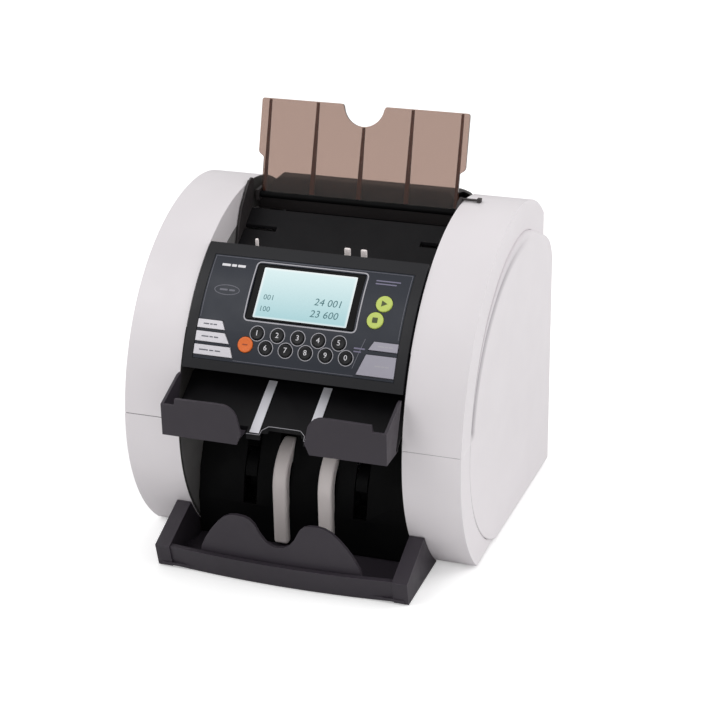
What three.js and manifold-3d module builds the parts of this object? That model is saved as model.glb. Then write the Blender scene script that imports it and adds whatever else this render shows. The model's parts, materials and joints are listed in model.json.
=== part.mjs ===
// Banknote counting machine: a hopper on top, a control panel that lifts, a reject pocket under it
// and a stacker pocket with a tray at the foot. Two D-shaped pods stand left and right of the
// note channel and hold the drive and the electronics.
//
// Millimetres. +X is the right of somebody facing the machine, -Y is the front, +Z is up.
// The origin is on the surface that the machine stands on, under the middle of its bounding box.
import * as THREE from 'three';
import { mergeVertices } from 'three/addons/utils/BufferGeometryUtils.js';
import Module from 'manifold-3d';

const wasm = await Module();
wasm.setup();

// ---------------------------------------------------------------- driving dimensions
const GAP = 0.3;            // air between two pieces that meet
const WALL = 2.5;           // moulded wall
const CHANNEL = 98;         // half width of the note channel between the pods
const BAND = 148;           // half width over the pods' front bands
const REAR = 149;           // the rear of the machine, as +Y
const FRONT = -149;         // the foremost edge of the stacker tray
const FOOT = 2.5;           // height of the rubber feet
const SEAM_Z = 126;         // where the upper and lower covers meet

// A pod's side view: a lower arc, an upper arc and a rear arc.
const BULGE_Z = 108;        // height of the foremost line of a pod
const UPPER_Y = 60;
const UPPER_R = 173.5;
const LOWER_R = 138;
const LOWER_Y = UPPER_Y - UPPER_R + LOWER_R;
const REAR_R = 118;
const REAR_TOP_Y = 141;     // the pod's upper rear face
const SHOULDER_Z = 200;     // below this the pod reaches back to its lower rear face

const SIDE_INSET = 26;      // the raised side panel, inside the pod's outline
const SIDE_RIM = 4;         // rim around the hollow of the side panel's plug
const FLANGE = 27;          // the upper cover's inner flange, inside the pod's outline
const SIDE_REAR_X = 156;    // the side panel starts flush with the band and is this far out at the rear
const SIDE_RAIL_Z = 10;     // height of the cover's rail below the side panel's plug
const SIDE_CORNER_Y = 100;  // the side panel leaves the pod's outline here for its rear corner
const SIDE_CORNER_Z = 202;
const SIDE_CORNER_R = 34;

const FACE_R = UPPER_R + 2.2;   // the control panel's face, on the pods' upper arc centre
const UNIT_R = 163;             // the control unit's inner radius
const FACE_TOP = rad(58.2);
const FACE_FOOT = rad(21.2);
const UNIT_HALF = 96.5;
const HINGE_ANGLE = rad(56);    // the unit's hinge pins, on the pods' upper arc centre
const HINGE_R = 168;
const HINGE_PIN = 2.4;
const HINGE_BORE = 2.9;

const HOPPER_SLOPE = 0.647;     // rise of the hopper floor towards the rear
const HOPPER_Y = 56;            // the upper end of the hopper floor
const HOPPER_Z = 258;
const FEED = [-10, 204];        // the feed shaft, as [y, z]
const STACK = [-46, 70];        // the stacker shaft
const MOTOR = [52, 96];         // the drive motor's shaft
const PLATE_PIVOT = [66, 268];
const PLATE_TOP = [90, 349];
const PLATE_HALF = 95;
const SHAFT = 4;                // radius of the feed and stacker shafts
const SHAFT_BORE = 4.4;
const FEED_PULLEY = 14;
const MOTOR_PULLEY = 9;
const BELT = 1.6;               // thickness of the drive belt
const ROLLER_R = 17;
const WHEEL_R = 32;
const WHEEL_X = 50;
const ROLLER_X = 30;

function rad(degrees) {
  return degrees * Math.PI / 180;
}

// ---------------------------------------------------------------- materials
const finish = (color, roughness, metalness = 0) => (
  new THREE.MeshStandardMaterial({ color, roughness, metalness })
);
const WHITE = finish(0xe3dee0, 0.45);
const CHARCOAL = finish(0x3e3d43, 0.5);
const BLACK = finish(0x151517, 0.55);
const SMOKE = new THREE.MeshStandardMaterial({
  color: 0x8d7568, roughness: 0.15, transparent: true, opacity: 0.6,
});
const IVORY = finish(0xc9bfb2, 0.5);
const SCREEN = finish(0xc8e6ea, 0.2);
const RUBBER = finish(0x1c1c1c, 0.9);
const STEEL = finish(0xa9abae, 0.35, 1);
const BOARD = finish(0x1f5a36, 0.6);
const KEY_DARK = finish(0x26262b, 0.5);
const KEY_LIGHT = finish(0xd5d2d8, 0.5);
const KEY_LAVENDER = finish(0xa7a4b0, 0.5);
const KEY_ORANGE = finish(0xe07a3c, 0.5);
const KEY_GREEN = finish(0xc6d96a, 0.5);

// ---------------------------------------------------------------- solids
function toSolid(geometry) {
  const bare = geometry.clone();
  bare.deleteAttribute('normal');
  bare.deleteAttribute('uv');
  const merged = mergeVertices(bare, 1e-4);
  const index = Array.from(merged.index.array);
  const triVerts = [];
  for (let i = 0; i < index.length; i += 3) {
    const [a, b, c] = index.slice(i, i + 3);
    if (a !== b && b !== c && c !== a) {
      triVerts.push(a, b, c);
    }
  }
  return new wasm.Manifold(new wasm.Mesh({
    numProp: 3,
    vertProperties: new Float32Array(merged.attributes.position.array),
    triVerts: new Uint32Array(triVerts),
  }));
}

function toGeometry(solid) {
  const mesh = solid.getMesh();
  const geometry = new THREE.BufferGeometry();
  geometry.setAttribute('position', new THREE.BufferAttribute(mesh.vertProperties, 3));
  geometry.setIndex(new THREE.BufferAttribute(mesh.triVerts, 1));
  geometry.computeVertexNormals();
  return geometry;
}

const group = new THREE.Group();

function put(name, solid, material, parent = group) {
  const mesh = new THREE.Mesh(toGeometry(solid), material);
  mesh.name = name;
  parent.add(mesh);
  return mesh;
}

const AXIS_X = new THREE.Vector3(1, 0, 0);
const AXIS_Y = new THREE.Vector3(0, 1, 0);
const AXIS_Z = new THREE.Vector3(0, 0, 1);
const ONTO_YZ = new THREE.Matrix4().makeBasis(AXIS_Y, AXIS_Z, AXIS_X);
const ONTO_XZ = new THREE.Matrix4().makeBasis(AXIS_X, AXIS_Z, AXIS_Y.clone().negate());

function toShape(points) {
  return new THREE.Shape(points.map(([u, v]) => new THREE.Vector2(u, v)));
}

function prism(points, depth) {
  return new THREE.ExtrudeGeometry(toShape(points), { depth, bevelEnabled: false });
}

// A [y, z] outline made solid from x0 to x1.
function acrossX(points, x0, x1) {
  const geometry = prism(points, x1 - x0).applyMatrix4(ONTO_YZ);
  return toSolid(geometry.translate(x0, 0, 0));
}

// An [x, z] outline made solid from y0 to y1.
function acrossY(points, y0, y1) {
  const geometry = prism(points, y1 - y0).applyMatrix4(ONTO_XZ);
  return toSolid(geometry.translate(0, y1, 0));
}

// An [x, y] outline made solid from z0 to z1.
function acrossZ(points, z0, z1) {
  return toSolid(prism(points, z1 - z0).translate(0, 0, z0));
}

function box([x0, x1], [y0, y1], [z0, z1]) {
  const geometry = new THREE.BoxGeometry(x1 - x0, y1 - y0, z1 - z0);
  return toSolid(geometry.translate((x0 + x1) / 2, (y0 + y1) / 2, (z0 + z1) / 2));
}

// A cylinder along X about [y, z].
function rod([y, z], radius, x0, x1, sides = 20) {
  const geometry = new THREE.CylinderGeometry(radius, radius, x1 - x0, sides);
  return toSolid(geometry.rotateZ(Math.PI / 2).translate((x0 + x1) / 2, y, z));
}

// A turned piece along X about [y, z]; the profile is [x, radius] pairs.
function turned([y, z], profile, sides = 20) {
  const points = profile.map(([x, radius]) => new THREE.Vector2(radius, x));
  const geometry = new THREE.LatheGeometry(points, sides).rotateZ(-Math.PI / 2);
  return toSolid(geometry.translate(0, y, z));
}

function union(first, ...others) {
  return others.reduce((sum, next) => sum.add(next), first);
}

function cut(body, ...tools) {
  return tools.reduce((rest, tool) => rest.subtract(tool), body);
}

const mirrored = (solid) => solid.mirror([1, 0, 0]);

// The same piece on both sides: built on the right, mirrored to the left.
function putPair(name, solid, material) {
  put(`${name}_right`, solid, material);
  put(`${name}_left`, mirrored(solid), material);
}

// ---------------------------------------------------------------- outlines
function arc([u, v], radius, from, to, steps) {
  const points = [];
  for (let i = 0; i <= steps; i += 1) {
    const angle = from + (to - from) * i / steps;
    points.push([u + radius * Math.cos(angle), v + radius * Math.sin(angle)]);
  }
  return points;
}

// A strip of even thickness to the right of a run of points, with mitred corners.
function ribbon(points, thickness) {
  const normals = points.slice(1).map(([u, v], i) => {
    const length = Math.hypot(u - points[i][0], v - points[i][1]);
    return [(v - points[i][1]) / length, -(u - points[i][0]) / length];
  });
  const inner = points.map(([u, v], i) => {
    const before = normals[Math.max(i - 1, 0)];
    const after = normals[Math.min(i, normals.length - 1)];
    const [nu, nv] = [before[0] + after[0], before[1] + after[1]];
    const reach = 2 * thickness / (nu * nu + nv * nv);
    return [u + nu * reach, v + nv * reach];
  });
  return [...points, ...inner.reverse()];
}

// A pod's side outline, moved in by an inset, above a base height.
function podOutline(inset, base) {
  const upper = UPPER_R - inset;
  const lower = LOWER_R - inset;
  const rear = REAR_R - inset;
  const rearFace = REAR - 1 - inset;
  const rearTop = REAR_TOP_Y - inset;
  const rearStart = Math.acos((rearTop - UPPER_Y) / REAR_R);
  const rearCentre = [UPPER_Y, BULGE_Z + UPPER_R - REAR_R];
  const lowest = Math.asin(Math.min(1, (BULGE_Z - base) / lower));
  const front = base < BULGE_Z
    ? [
      ...arc([LOWER_Y, BULGE_Z], lower, Math.PI + lowest, Math.PI, 14),
      ...arc([UPPER_Y, BULGE_Z], upper, Math.PI, Math.PI / 2, 24).slice(1),
    ]
    : arc([UPPER_Y, BULGE_Z], upper, Math.PI - Math.asin((base - BULGE_Z) / upper), Math.PI / 2, 20);
  return [
    ...front,
    ...arc(rearCentre, rear, Math.PI / 2, rearStart, 8).slice(1),
    [rearTop, SHOULDER_Z],
    [rearFace, SHOULDER_Z - SHOULDER],
    [rearFace, base],
  ];
}

const COVER_BASE = FOOT;
const SHOULDER = 10;            // height of the slope between the pods' two rear faces
const FRAME_PLATE = 2;          // thickness of the side frames
const FRAME_TAB = 10;           // how far the side frames' upper parts reach down below the seam
const THROUGH = 5;              // how far a cutting tool runs past a face
const HUGE = 400;
const aboveSeam = box([-HUGE, HUGE], [-HUGE, HUGE], [SEAM_Z + GAP / 2, HUGE]);
const belowSeam = box([-HUGE, HUGE], [-HUGE, HUGE], [-HUGE, SEAM_Z - GAP / 2]);

// ---------------------------------------------------------------- pods
function buildCovers() {
  const skin = acrossX(podOutline(0, COVER_BASE), CHANNEL, BAND);
  const hollow = acrossX(podOutline(WALL, COVER_BASE - THROUGH), CHANNEL + WALL, BAND - WALL);
  const sidePlan = podOutline(SIDE_INSET - GAP, COVER_BASE + SIDE_RAIL_Z);
  const sideHole = acrossX(sidePlan, BAND - THROUGH, BAND + THROUGH);
  const shell = cut(skin, hollow, sideHole);
  const throughFlange = (plan) => acrossX(plan, CHANNEL - THROUGH, CHANNEL + THROUGH);
  const innerHole = throughFlange(podOutline(FLANGE, SEAM_Z - FRAME_TAB));
  const hingeAt = onFace(HINGE_ANGLE, HINGE_R);
  const hingeHole = rod(hingeAt, HINGE_BORE, CHANNEL - THROUGH, CHANNEL + THROUGH, 16);
  const lowerOpening = throughFlange(podOutline(WALL, COVER_BASE - THROUGH));
  const upper = cut(shell.intersect(aboveSeam), innerHole, hingeHole);
  const lower = cut(shell.intersect(belowSeam), lowerOpening);
  putPair('upper_cover', upper, WHITE);
  putPair('lower_cover', lower, WHITE);
}

// The raised side panel is a wedge: flush at its front edge and proud at the rear. It plugs the
// hole in the covers, and below the plug it hangs over their bottom rail.
function buildSidePanels() {
  const inner = BAND - WALL;
  const frontY = UPPER_Y - UPPER_R + SIDE_INSET;
  const tilt = Math.atan((SIDE_REAR_X - BAND) / (REAR - frontY));
  const outer = SIDE_REAR_X + THROUGH;
  const beyond = (thickness) => {
    const geometry = new THREE.BoxGeometry(outer, 2 * HUGE, 2 * HUGE).translate(outer / 2, 0, 0);
    geometry.rotateZ(-tilt).translate(BAND - thickness, frontY, 0);
    return toSolid(geometry);
  };
  const forward = podOutline(SIDE_INSET, COVER_BASE).filter(([y]) => y <= SIDE_CORNER_Y);
  const corner = arc([REAR - SIDE_CORNER_R, SIDE_CORNER_Z], SIDE_CORNER_R, rad(60), 0, 7);
  const apron = acrossX([...forward, ...corner, [REAR, COVER_BASE]], BAND + GAP, outer);
  const plugBase = COVER_BASE + SIDE_RAIL_Z;
  const plug = acrossX(podOutline(SIDE_INSET, plugBase + GAP), inner, outer);
  const hollowPlan = podOutline(SIDE_INSET + SIDE_RIM, plugBase + SIDE_RIM);
  const hollow = cut(acrossX(hollowPlan, inner - THROUGH, SIDE_REAR_X), beyond(WALL));
  putPair('side_panel', cut(union(apron, plug), beyond(0), hollow), WHITE);
}

function buildSideFrames() {
  const plate = (plan) => acrossX(plan, CHANNEL, CHANNEL + FRAME_PLATE);
  const lower = plate(podOutline(WALL + GAP, COVER_BASE + 3.3));
  const upper = plate(podOutline(FLANGE + GAP, SEAM_Z - FRAME_TAB));
  const bore = (centre) => rod(centre, SHAFT_BORE, CHANNEL - THROUGH, CHANNEL + THROUGH, 16);
  const frame = union(lower.intersect(belowSeam), upper);
  putPair('side_frame', cut(frame, bore(FEED), bore(STACK)), CHARCOAL);
}

// ---------------------------------------------------------------- base and rear
const SHEET = 1.5;              // thickness of the base pan
const FOOT_X = 120;
const FOOT_Y = { front: -30, rear: 125 };

function buildBase() {
  const half = BAND - WALL - 2;
  const front = -46;
  const back = REAR - 5;
  const floor = box([-half, half], [front, back], [FOOT, FOOT + SHEET]);
  const lip = (y) => box([-CHANNEL + 1, CHANNEL - 1], [y, y + SHEET], [FOOT, FOOT + 12]);
  put('base_pan', union(floor, lip(front), lip(back - 2)), STEEL);
  const height = FOOT - GAP / 3;
  for (const [end, y] of Object.entries(FOOT_Y)) {
    for (const [side, x] of [['left', -FOOT_X], ['right', FOOT_X]]) {
      const foot = new THREE.CylinderGeometry(9, 8, height, 20).rotateX(Math.PI / 2);
      put(`foot_${end}_${side}`, toSolid(foot.translate(x, y, height / 2)), RUBBER);
    }
  }
}

const INLET_X = [-78, -48];
const SWITCH_X = [-38, -22];
const SOCKET_Z = [22, 44];
const HUMP_TOP = 280.2;         // the rear cover's highest line
const HUMP_HALF = 88;
const HUMP_CORNER = 14;
const VENT = { rows: 7, pitch: 9, height: 3.5, first: 120, half: 60 };

function buildRear() {
  const hump = arc([86, 271], 9, Math.PI, Math.PI / 2, 5);
  const outline = [
    [77, 251], ...hump, [104, 277], [120, 268], [133, 251], [141, 226], [REAR - 1.5, 188],
    [REAR - 1.5, FOOT + 2.2],
  ];
  const half = CHANNEL - GAP * 2;
  const shell = acrossX(ribbon(outline, WALL), -half, half);
  const cornerX = HUMP_HALF - HUMP_CORNER;
  const cornerZ = HUMP_TOP - HUMP_CORNER;
  const crown = acrossY([
    [-half, 0], [half, 0], [half, 262], [HUMP_HALF, 264],
    ...arc([cornerX, cornerZ], HUMP_CORNER, 0, Math.PI / 2, 5),
    ...arc([-cornerX, cornerZ], HUMP_CORNER, Math.PI / 2, Math.PI, 5),
    [-HUMP_HALF, 264], [-half, 262],
  ], 60, REAR + THROUGH);
  const lugs = [-1, 1].map((side) => {
    const block = box([91.3, 94.7], [62.8, 82], [263, 272.5]);
    const lug = cut(block, rod(PLATE_PIVOT, 2.2, 85, 100, 12));
    return side > 0 ? lug : mirrored(lug);
  });
  const root = box([-half, half], [77, 80], [251, 266]);
  const rearWall = [REAR - 10, REAR + THROUGH];
  const vents = [];
  for (let row = 0; row < VENT.rows; row += 1) {
    const z = VENT.first + row * VENT.pitch;
    vents.push(box([-VENT.half, VENT.half], rearWall, [z, z + VENT.height]));
  }
  const inlet = box(INLET_X, rearWall, SOCKET_Z);
  const rocker = box(SWITCH_X, rearWall, SOCKET_Z);
  const body = union(shell.intersect(crown), root, ...lugs);
  put('rear_cover', cut(body, ...vents, inlet, rocker), CHARCOAL);
}

function buildSockets() {
  const [x0, x1] = [INLET_X[0] + GAP, INLET_X[1] - GAP];
  const [z0, z1] = [SOCKET_Z[0] + GAP, SOCKET_Z[1] - GAP];
  const rearFace = REAR - 0.7;
  const block = box([x0, x1], [REAR - 24, rearFace], [z0, z1]);
  const well = box([x0 + 3, x1 - 3], [REAR - 18, REAR + 5], [z0 + 3, z1 - 3]);
  const pins = [-7, 0, 7].map((dx, i) => {
    const x = (x0 + x1) / 2 + dx;
    const z = (z0 + z1) / 2 + (i === 1 ? 3 : -2);
    return box([x - 1, x + 1], [REAR - 20, REAR - 4], [z - 2.5, z + 2.5]);
  });
  put('power_inlet', union(cut(block, well), ...pins), BLACK);
  const zc = (z0 + z1) / 2;
  const half = (z1 - z0) / 2 - 0.8;
  const rocker = acrossX([
    [REAR - 9, zc - half + 1], [REAR - 1.8, zc - half], [REAR - 2.6, zc], [REAR - 0.4, zc + half],
    [REAR - 9, zc + half - 2],
  ], SWITCH_X[0] + 1, SWITCH_X[1] - 1);
  put('power_switch', rocker, BLACK);
}

// ---------------------------------------------------------------- hopper
const hopperAt = (y) => HOPPER_Z + (y - HOPPER_Y) * HOPPER_SLOPE;

function buildHopper() {
  const half = CHANNEL - GAP * 2;
  const run = [[-19, 210], [-17, hopperAt(-17)], [HOPPER_Y, HOPPER_Z], [HOPPER_Y + 1.5, 250], [74, 250]];
  const floor = acrossX(ribbon(run, WALL), -half, half);
  const slot = (x) => box([x - 13.5, x + 13.5], [-40, 10], [180, 240]);
  const guideSlot = (x0, x1) => box([x0, x1], [36, 40.6], [220, 270]);
  put('hopper_floor', cut(floor, slot(-30), slot(30), guideSlot(66, 99), guideSlot(-99, -66)), BLACK);
  const gate = box([-half, half], [-24, -21.5], [226, 243]);
  const finger = (x, width) => box([x - width / 2, x + width / 2], [-24, -21.5], [240, 260]);
  put('note_gate', union(gate, finger(22.5, 5.5), finger(37, 5.5), finger(-58.5, 3)), IVORY);
}

// The side guides slide in slots of the hopper floor; the right one carries a thumb lever.
function buildGuides() {
  const [inner, outer] = [95.2, 97.4];
  const fin = [
    [18, hopperAt(18) + GAP], [21, 239], [25.5, 252.5], [33, 266], [44, 277], [52, 284],
    ...arc([58, 281], 4, rad(130), rad(10), 5), [59.5, 264.5],
    [HOPPER_Y - 1, hopperAt(HOPPER_Y - 1) + GAP],
  ];
  const tongue = box([inner, outer], [36.6, 40], [232, 252]);
  const guide = union(acrossX(fin, inner, outer), tongue);
  const lever = union(
    box([outer - 1, 113.4], [57.6, 60], [282.4, 284]),
    box([110.6, 114], [56.8, 60.8], [281.9, 285.2]),
  );
  put('hopper_guide_right', union(guide, lever), CHARCOAL);
  put('hopper_guide_left', mirrored(guide), CHARCOAL);
}

// The note plate leans back; it is built upright on its pivot and then tilted.
function buildNotePlate() {
  const [py, pz] = PLATE_PIVOT;
  const height = Math.hypot(PLATE_TOP[0] - py, PLATE_TOP[1] - pz);
  const lean = Math.atan2(PLATE_TOP[0] - py, PLATE_TOP[1] - pz);
  const notch = 18.5;
  const outline = [
    [-90, 0], [90, 0], [90, 34], [PLATE_HALF, 36], [PLATE_HALF, height], [notch, height],
    ...arc([0, height], notch, 0, -Math.PI, 12).slice(1, -1), [-notch, height],
    [-PLATE_HALF, height], [-PLATE_HALF, 36], [-90, 34],
  ];
  const sheet = acrossY(outline, -1.5, 1);
  const ribs = [-88, -43.5, 0, 43.5, 88].map((x) => {
    const top = x === 0 ? height - notch : height;
    return box([x - 1.1, x + 1.1], [0.5, 4], [3, top - 0.5]);
  });
  const hem = rod([0, 0], 3, -90.8, 90.8, 12);
  const pins = rod([0, 0], 1.8, -94.2, 94.2, 12);
  const tilt = new THREE.Group();
  tilt.position.set(0, py, pz);
  tilt.rotation.x = -lean;
  group.add(tilt);
  put('note_plate', union(sheet, ...ribs, hem, pins), SMOKE, tilt);
}

// ---------------------------------------------------------------- feed and stacker
const SHAFT_END = 102.5;        // the shafts' left ends, and the stacker shaft's right end
const PULLEY_X = [104, 111.5];

function buildFeed() {
  const [inner, outer] = PULLEY_X;
  put('feed_shaft', turned(FEED, [
    [-SHAFT_END, 0], [-SHAFT_END, SHAFT], [inner, SHAFT], [inner, FEED_PULLEY], [outer, FEED_PULLEY],
    [outer, SHAFT], [outer + 3.5, SHAFT], [outer + 3.5, 0],
  ]), STEEL);
  const bore = SHAFT + GAP;
  const groove = ROLLER_R - 2;
  for (const [name, x] of [['left', -ROLLER_X], ['right', ROLLER_X]]) {
    const roller = [
      [x - 12, bore], [x - 12, ROLLER_R], [x - 2, ROLLER_R], [x - 2, groove], [x + 2, groove],
      [x + 2, ROLLER_R], [x + 12, ROLLER_R], [x + 12, bore], [x - 12, bore],
    ];
    put(`feed_roller_${name}`, turned(FEED, roller, 24), RUBBER);
  }
}

const BLADES = 7;
const RAIL_X = 20.5;

function buildStacker() {
  put('stacker_shaft', rod(STACK, SHAFT, -SHAFT_END, SHAFT_END), STEEL);
  const blade = () => {
    const outer = arc([0, 19], 19, rad(-90), rad(25), 6);
    const inner = arc([0, 19], 17.2, rad(25), rad(-90), 6);
    return [...outer, ...inner];
  };
  const wheelAt = (x) => {
    const [y, z] = STACK;
    const hub = rod([0, 0], 12, x - 5, x + 5, 20);
    const blades = [];
    for (let i = 0; i < BLADES; i += 1) {
      const turn = rad(i * 360 / BLADES);
      const shifted = blade().map(([u, v]) => [u + 8, v - 8]);
      const spun = shifted.map(([u, v]) => [
        u * Math.cos(turn) - v * Math.sin(turn),
        u * Math.sin(turn) + v * Math.cos(turn),
      ]);
      blades.push(acrossX(spun, x - 5, x + 5));
    }
    const bore = rod([0, 0], SHAFT + GAP, x - 10, x + 10);
    const round = rod([0, 0], WHEEL_R, x - 6, x + 6, 28);
    return cut(union(hub, ...blades), bore).intersect(round).translate([0, y, z]);
  };
  put('stacker_wheel_left', wheelAt(-WHEEL_X), RUBBER);
  put('stacker_wheel_right', wheelAt(WHEEL_X), RUBBER);
  const run = [[-83, 6], [-83, 40], [-77, 66], [-66, 90], [-52, 112], [-38, 134]];
  const wall = acrossX(ribbon(run, WALL), -CHANNEL + 2 * GAP, CHANNEL - 2 * GAP);
  const slots = [];
  const slot = (x, half, heights) => box([x - half, x + half], [-100, -30], heights);
  for (const side of [-1, 1]) {
    slots.push(slot(side * WHEEL_X, 6, [40, 100]));
    slots.push(slot(side * RAIL_X, 7, [8, 102]));
  }
  put('stacker_back', cut(wall, ...slots), BLACK);
}

// Ivory ribs that the note stack stands against.
function buildRails() {
  const centre = [-50, 58];
  const outer = arc(centre, 38, rad(95), rad(180), 12);
  const inner = arc(centre, 28, rad(180), rad(95), 10);
  const outline = [...outer, [-88, 8], [-78, 8], ...inner];
  putPair('stacker_rail', acrossX(outline, RAIL_X - 6.5, RAIL_X + 6.5), IVORY);
}

function buildDrive() {
  const body = rod(MOTOR, 24, 114, 142, 24);
  const boss = rod(MOTOR, 8, 112.6, 116, 16);
  const foot = box([114, 142], [MOTOR[0] - 20, MOTOR[0] + 20], [FOOT + 1.8, MOTOR[1] - 15]);
  put('drive_motor', union(body, boss, foot), CHARCOAL);
  const [inner, outer] = PULLEY_X;
  put('motor_pulley', turned(MOTOR, [
    [101, 0], [101, 3], [inner, 3], [inner, MOTOR_PULLEY], [outer, MOTOR_PULLEY], [outer, 3],
    [outer + 0.7, 3], [outer + 0.7, 0],
  ]), STEEL);
  const beltLoop = (big, small) => {
    const dy = FEED[0] - MOTOR[0];
    const dz = FEED[1] - MOTOR[1];
    const along = Math.atan2(dz, dy);
    const lean = Math.acos((big - small) / Math.hypot(dy, dz));
    return [
      ...arc(FEED, big, along + Math.PI + lean, along + Math.PI - lean + 2 * Math.PI, 16),
      ...arc(MOTOR, small, along + Math.PI - lean, along + Math.PI + lean, 10),
    ];
  };
  const lining = GAP + 0.1;
  const inside = beltLoop(FEED_PULLEY + lining, MOTOR_PULLEY + lining);
  const outside = beltLoop(FEED_PULLEY + lining + BELT, MOTOR_PULLEY + lining + BELT);
  const loop = cut(
    acrossX(outside, inner + 0.8, outer - 0.7),
    acrossX(inside, inner - THROUGH, outer + THROUGH),
  );
  put('drive_belt', loop, RUBBER);
  const board = box([-106, -104.4], [0, 120], [24, 118]);
  const chips = [[20, 40, 12], [20, 80, 16], [70, 50, 22], [70, 90, 14]].map(([y, z, size]) => (
    box([-112, -105], [y, y + size], [z, z + size])
  ));
  const stands = [8, 108].map((y) => box([-104.6, -100.3], [y, y + 6], [30, 36]));
  put('main_board', union(board, ...chips, ...stands), BOARD);
}

// ---------------------------------------------------------------- reject pocket
function buildRejectPocket() {
  const half = CHANNEL - 2 * GAP;
  const run = [[-122, 129], [-121, 133.5], [-80, 157.5], [-72, 158.5], [-68.5, 162], [-67, 187]];
  const floor = acrossX(ribbon(run, WALL), -half, half);
  const tongue = acrossX(ribbon([[-127.6, 125.6], [-126.8, 130.1], [-116, 136.4]], WALL), -31, 31);
  const stripe = acrossX([[-126.3, 128.6], [-80, 155.7], [-80, 158.1], [-126.3, 131]], 20, 28.5);
  const notch = [[-19, -135], [19, -135], [19, -123], [14, -119], [-14, -119], [-19, -123]];
  const fingers = acrossZ(notch, 118, 145);
  put('reject_floor', cut(union(floor, tongue, stripe, mirrored(stripe)), fingers), BLACK);
  const face = [
    [97, 128.5], [97, 156], [85.5, 156], [84.5, 162], [48, 162.5],
    ...arc([44, 148.5], 14, rad(80), rad(172), 6), [27.5, 138], [31.5, 128.5],
  ];
  const front = acrossY(face, -146.3, -143.6);
  const side = acrossX([
    [-146.3, 128.5], [-146.3, 156], [-113, 168.5], [-108, 168.5], [-123, 132], [-123, 128.5],
  ], 94.8, 97.2);
  const bottom = box([33, 97.2], [-145, -122.6], [128.5, 130.7]);
  putPair('reject_tray', union(front, side, bottom), CHARCOAL);
  const from = rad(26);
  const to = rad(53);
  const guideR = UNIT_R - 2;
  const guide = [
    ...arc([UPPER_Y, BULGE_Z], guideR, from, to, 10),
    ...arc([UPPER_Y, BULGE_Z], guideR - WALL, to, from, 10),
  ].map(([y, z]) => [2 * UPPER_Y - y, z]);
  put('transport_guide', acrossX(guide, -half, half), BLACK);
}

// ---------------------------------------------------------------- stacker tray
const TRAY_HALF = 112;
const BOW = 7.6;                // the rim's middle is this far in front of its ends
const BOW_FRONT = FRONT + 5.4;
const BOW_STEPS = 14;

function buildTray() {
  const armRear = arc([LOWER_Y, BULGE_Z], LOWER_R + 2 * GAP, rad(209), rad(230.5), 6);
  const arm = acrossX([[-139.5, 1], [-144.2, 22], ...armRear], CHANNEL + 1, TRAY_HALF);
  const bow = (offset) => {
    const points = [];
    for (let i = 0; i <= BOW_STEPS; i += 1) {
      const across = 1 - 2 * i / BOW_STEPS;
      points.push([across * TRAY_HALF, BOW_FRONT + offset + BOW * across ** 2]);
    }
    return points;
  };
  // A wall that follows the bow and leans forward as it rises.
  const wall = (offset, thickness, height, lean) => {
    const plan = [...bow(offset), ...bow(offset + thickness).reverse()];
    const shear = new THREE.Matrix4().makeShear(0, 0, 0, 0, 0, lean);
    return toSolid(prism(plan, height - 1).translate(0, 0, 1).applyMatrix4(shear));
  };
  const rim = wall(0, 5, 22, -0.245);
  const crest = [
    [72, 15], [70.5, 26], [66, 35.5], [60, 45], [54, 52.5], [48, 58.5], [42, 61.8], [36, 63], [29, 62.6],
    [24, 60.8], [20, 57], [17.5, 52], [14.5, 46.5], [10, 41], [5, 38.2], [0, 37.5],
  ];
  const lipOutline = [...crest, ...crest.slice(0, -1).reverse().map(([x, z]) => [-x, z])];
  const lip = wall(2, 3.2, 70, -0.07).intersect(acrossY(lipOutline, -170, -120));
  const floor = union(
    box([-100, 100], [-136, -98], [2.6, 5]),
    box([-CHANNEL + 1, CHANNEL - 1], [-99, -66], [2.6, 5]),
  );
  const key = box([-108, 108], [-141, -134], [2.6, 5]);
  put('stacker_tray', union(rim, lip, arm, mirrored(arm), floor, key), CHARCOAL);
}

// ---------------------------------------------------------------- control unit
// A point at an angle above the horizontal, on the arc that the face lies on, as [y, z].
function onFace(angle, radius) {
  return [UPPER_Y - radius * Math.cos(angle), BULGE_Z + radius * Math.sin(angle)];
}

function sector(inner, outer, from, to, halfWidth, steps = 14) {
  const face = (radius, a, b) => {
    const points = [];
    for (let i = 0; i <= steps; i += 1) {
      points.push(onFace(a + (b - a) * i / steps, radius));
    }
    return points;
  };
  return acrossX([...face(outer, from, to), ...face(inner, to, from)], -halfWidth, halfWidth);
}

const angleAt = (down) => FACE_TOP - down / FACE_R;
const WINDOW = { x: 47.5, from: 17, to: 67.5 };
const faceFrom = angleAt(105);
const faceTo = angleAt(12);
const FACE_HALF = 88;

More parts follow.
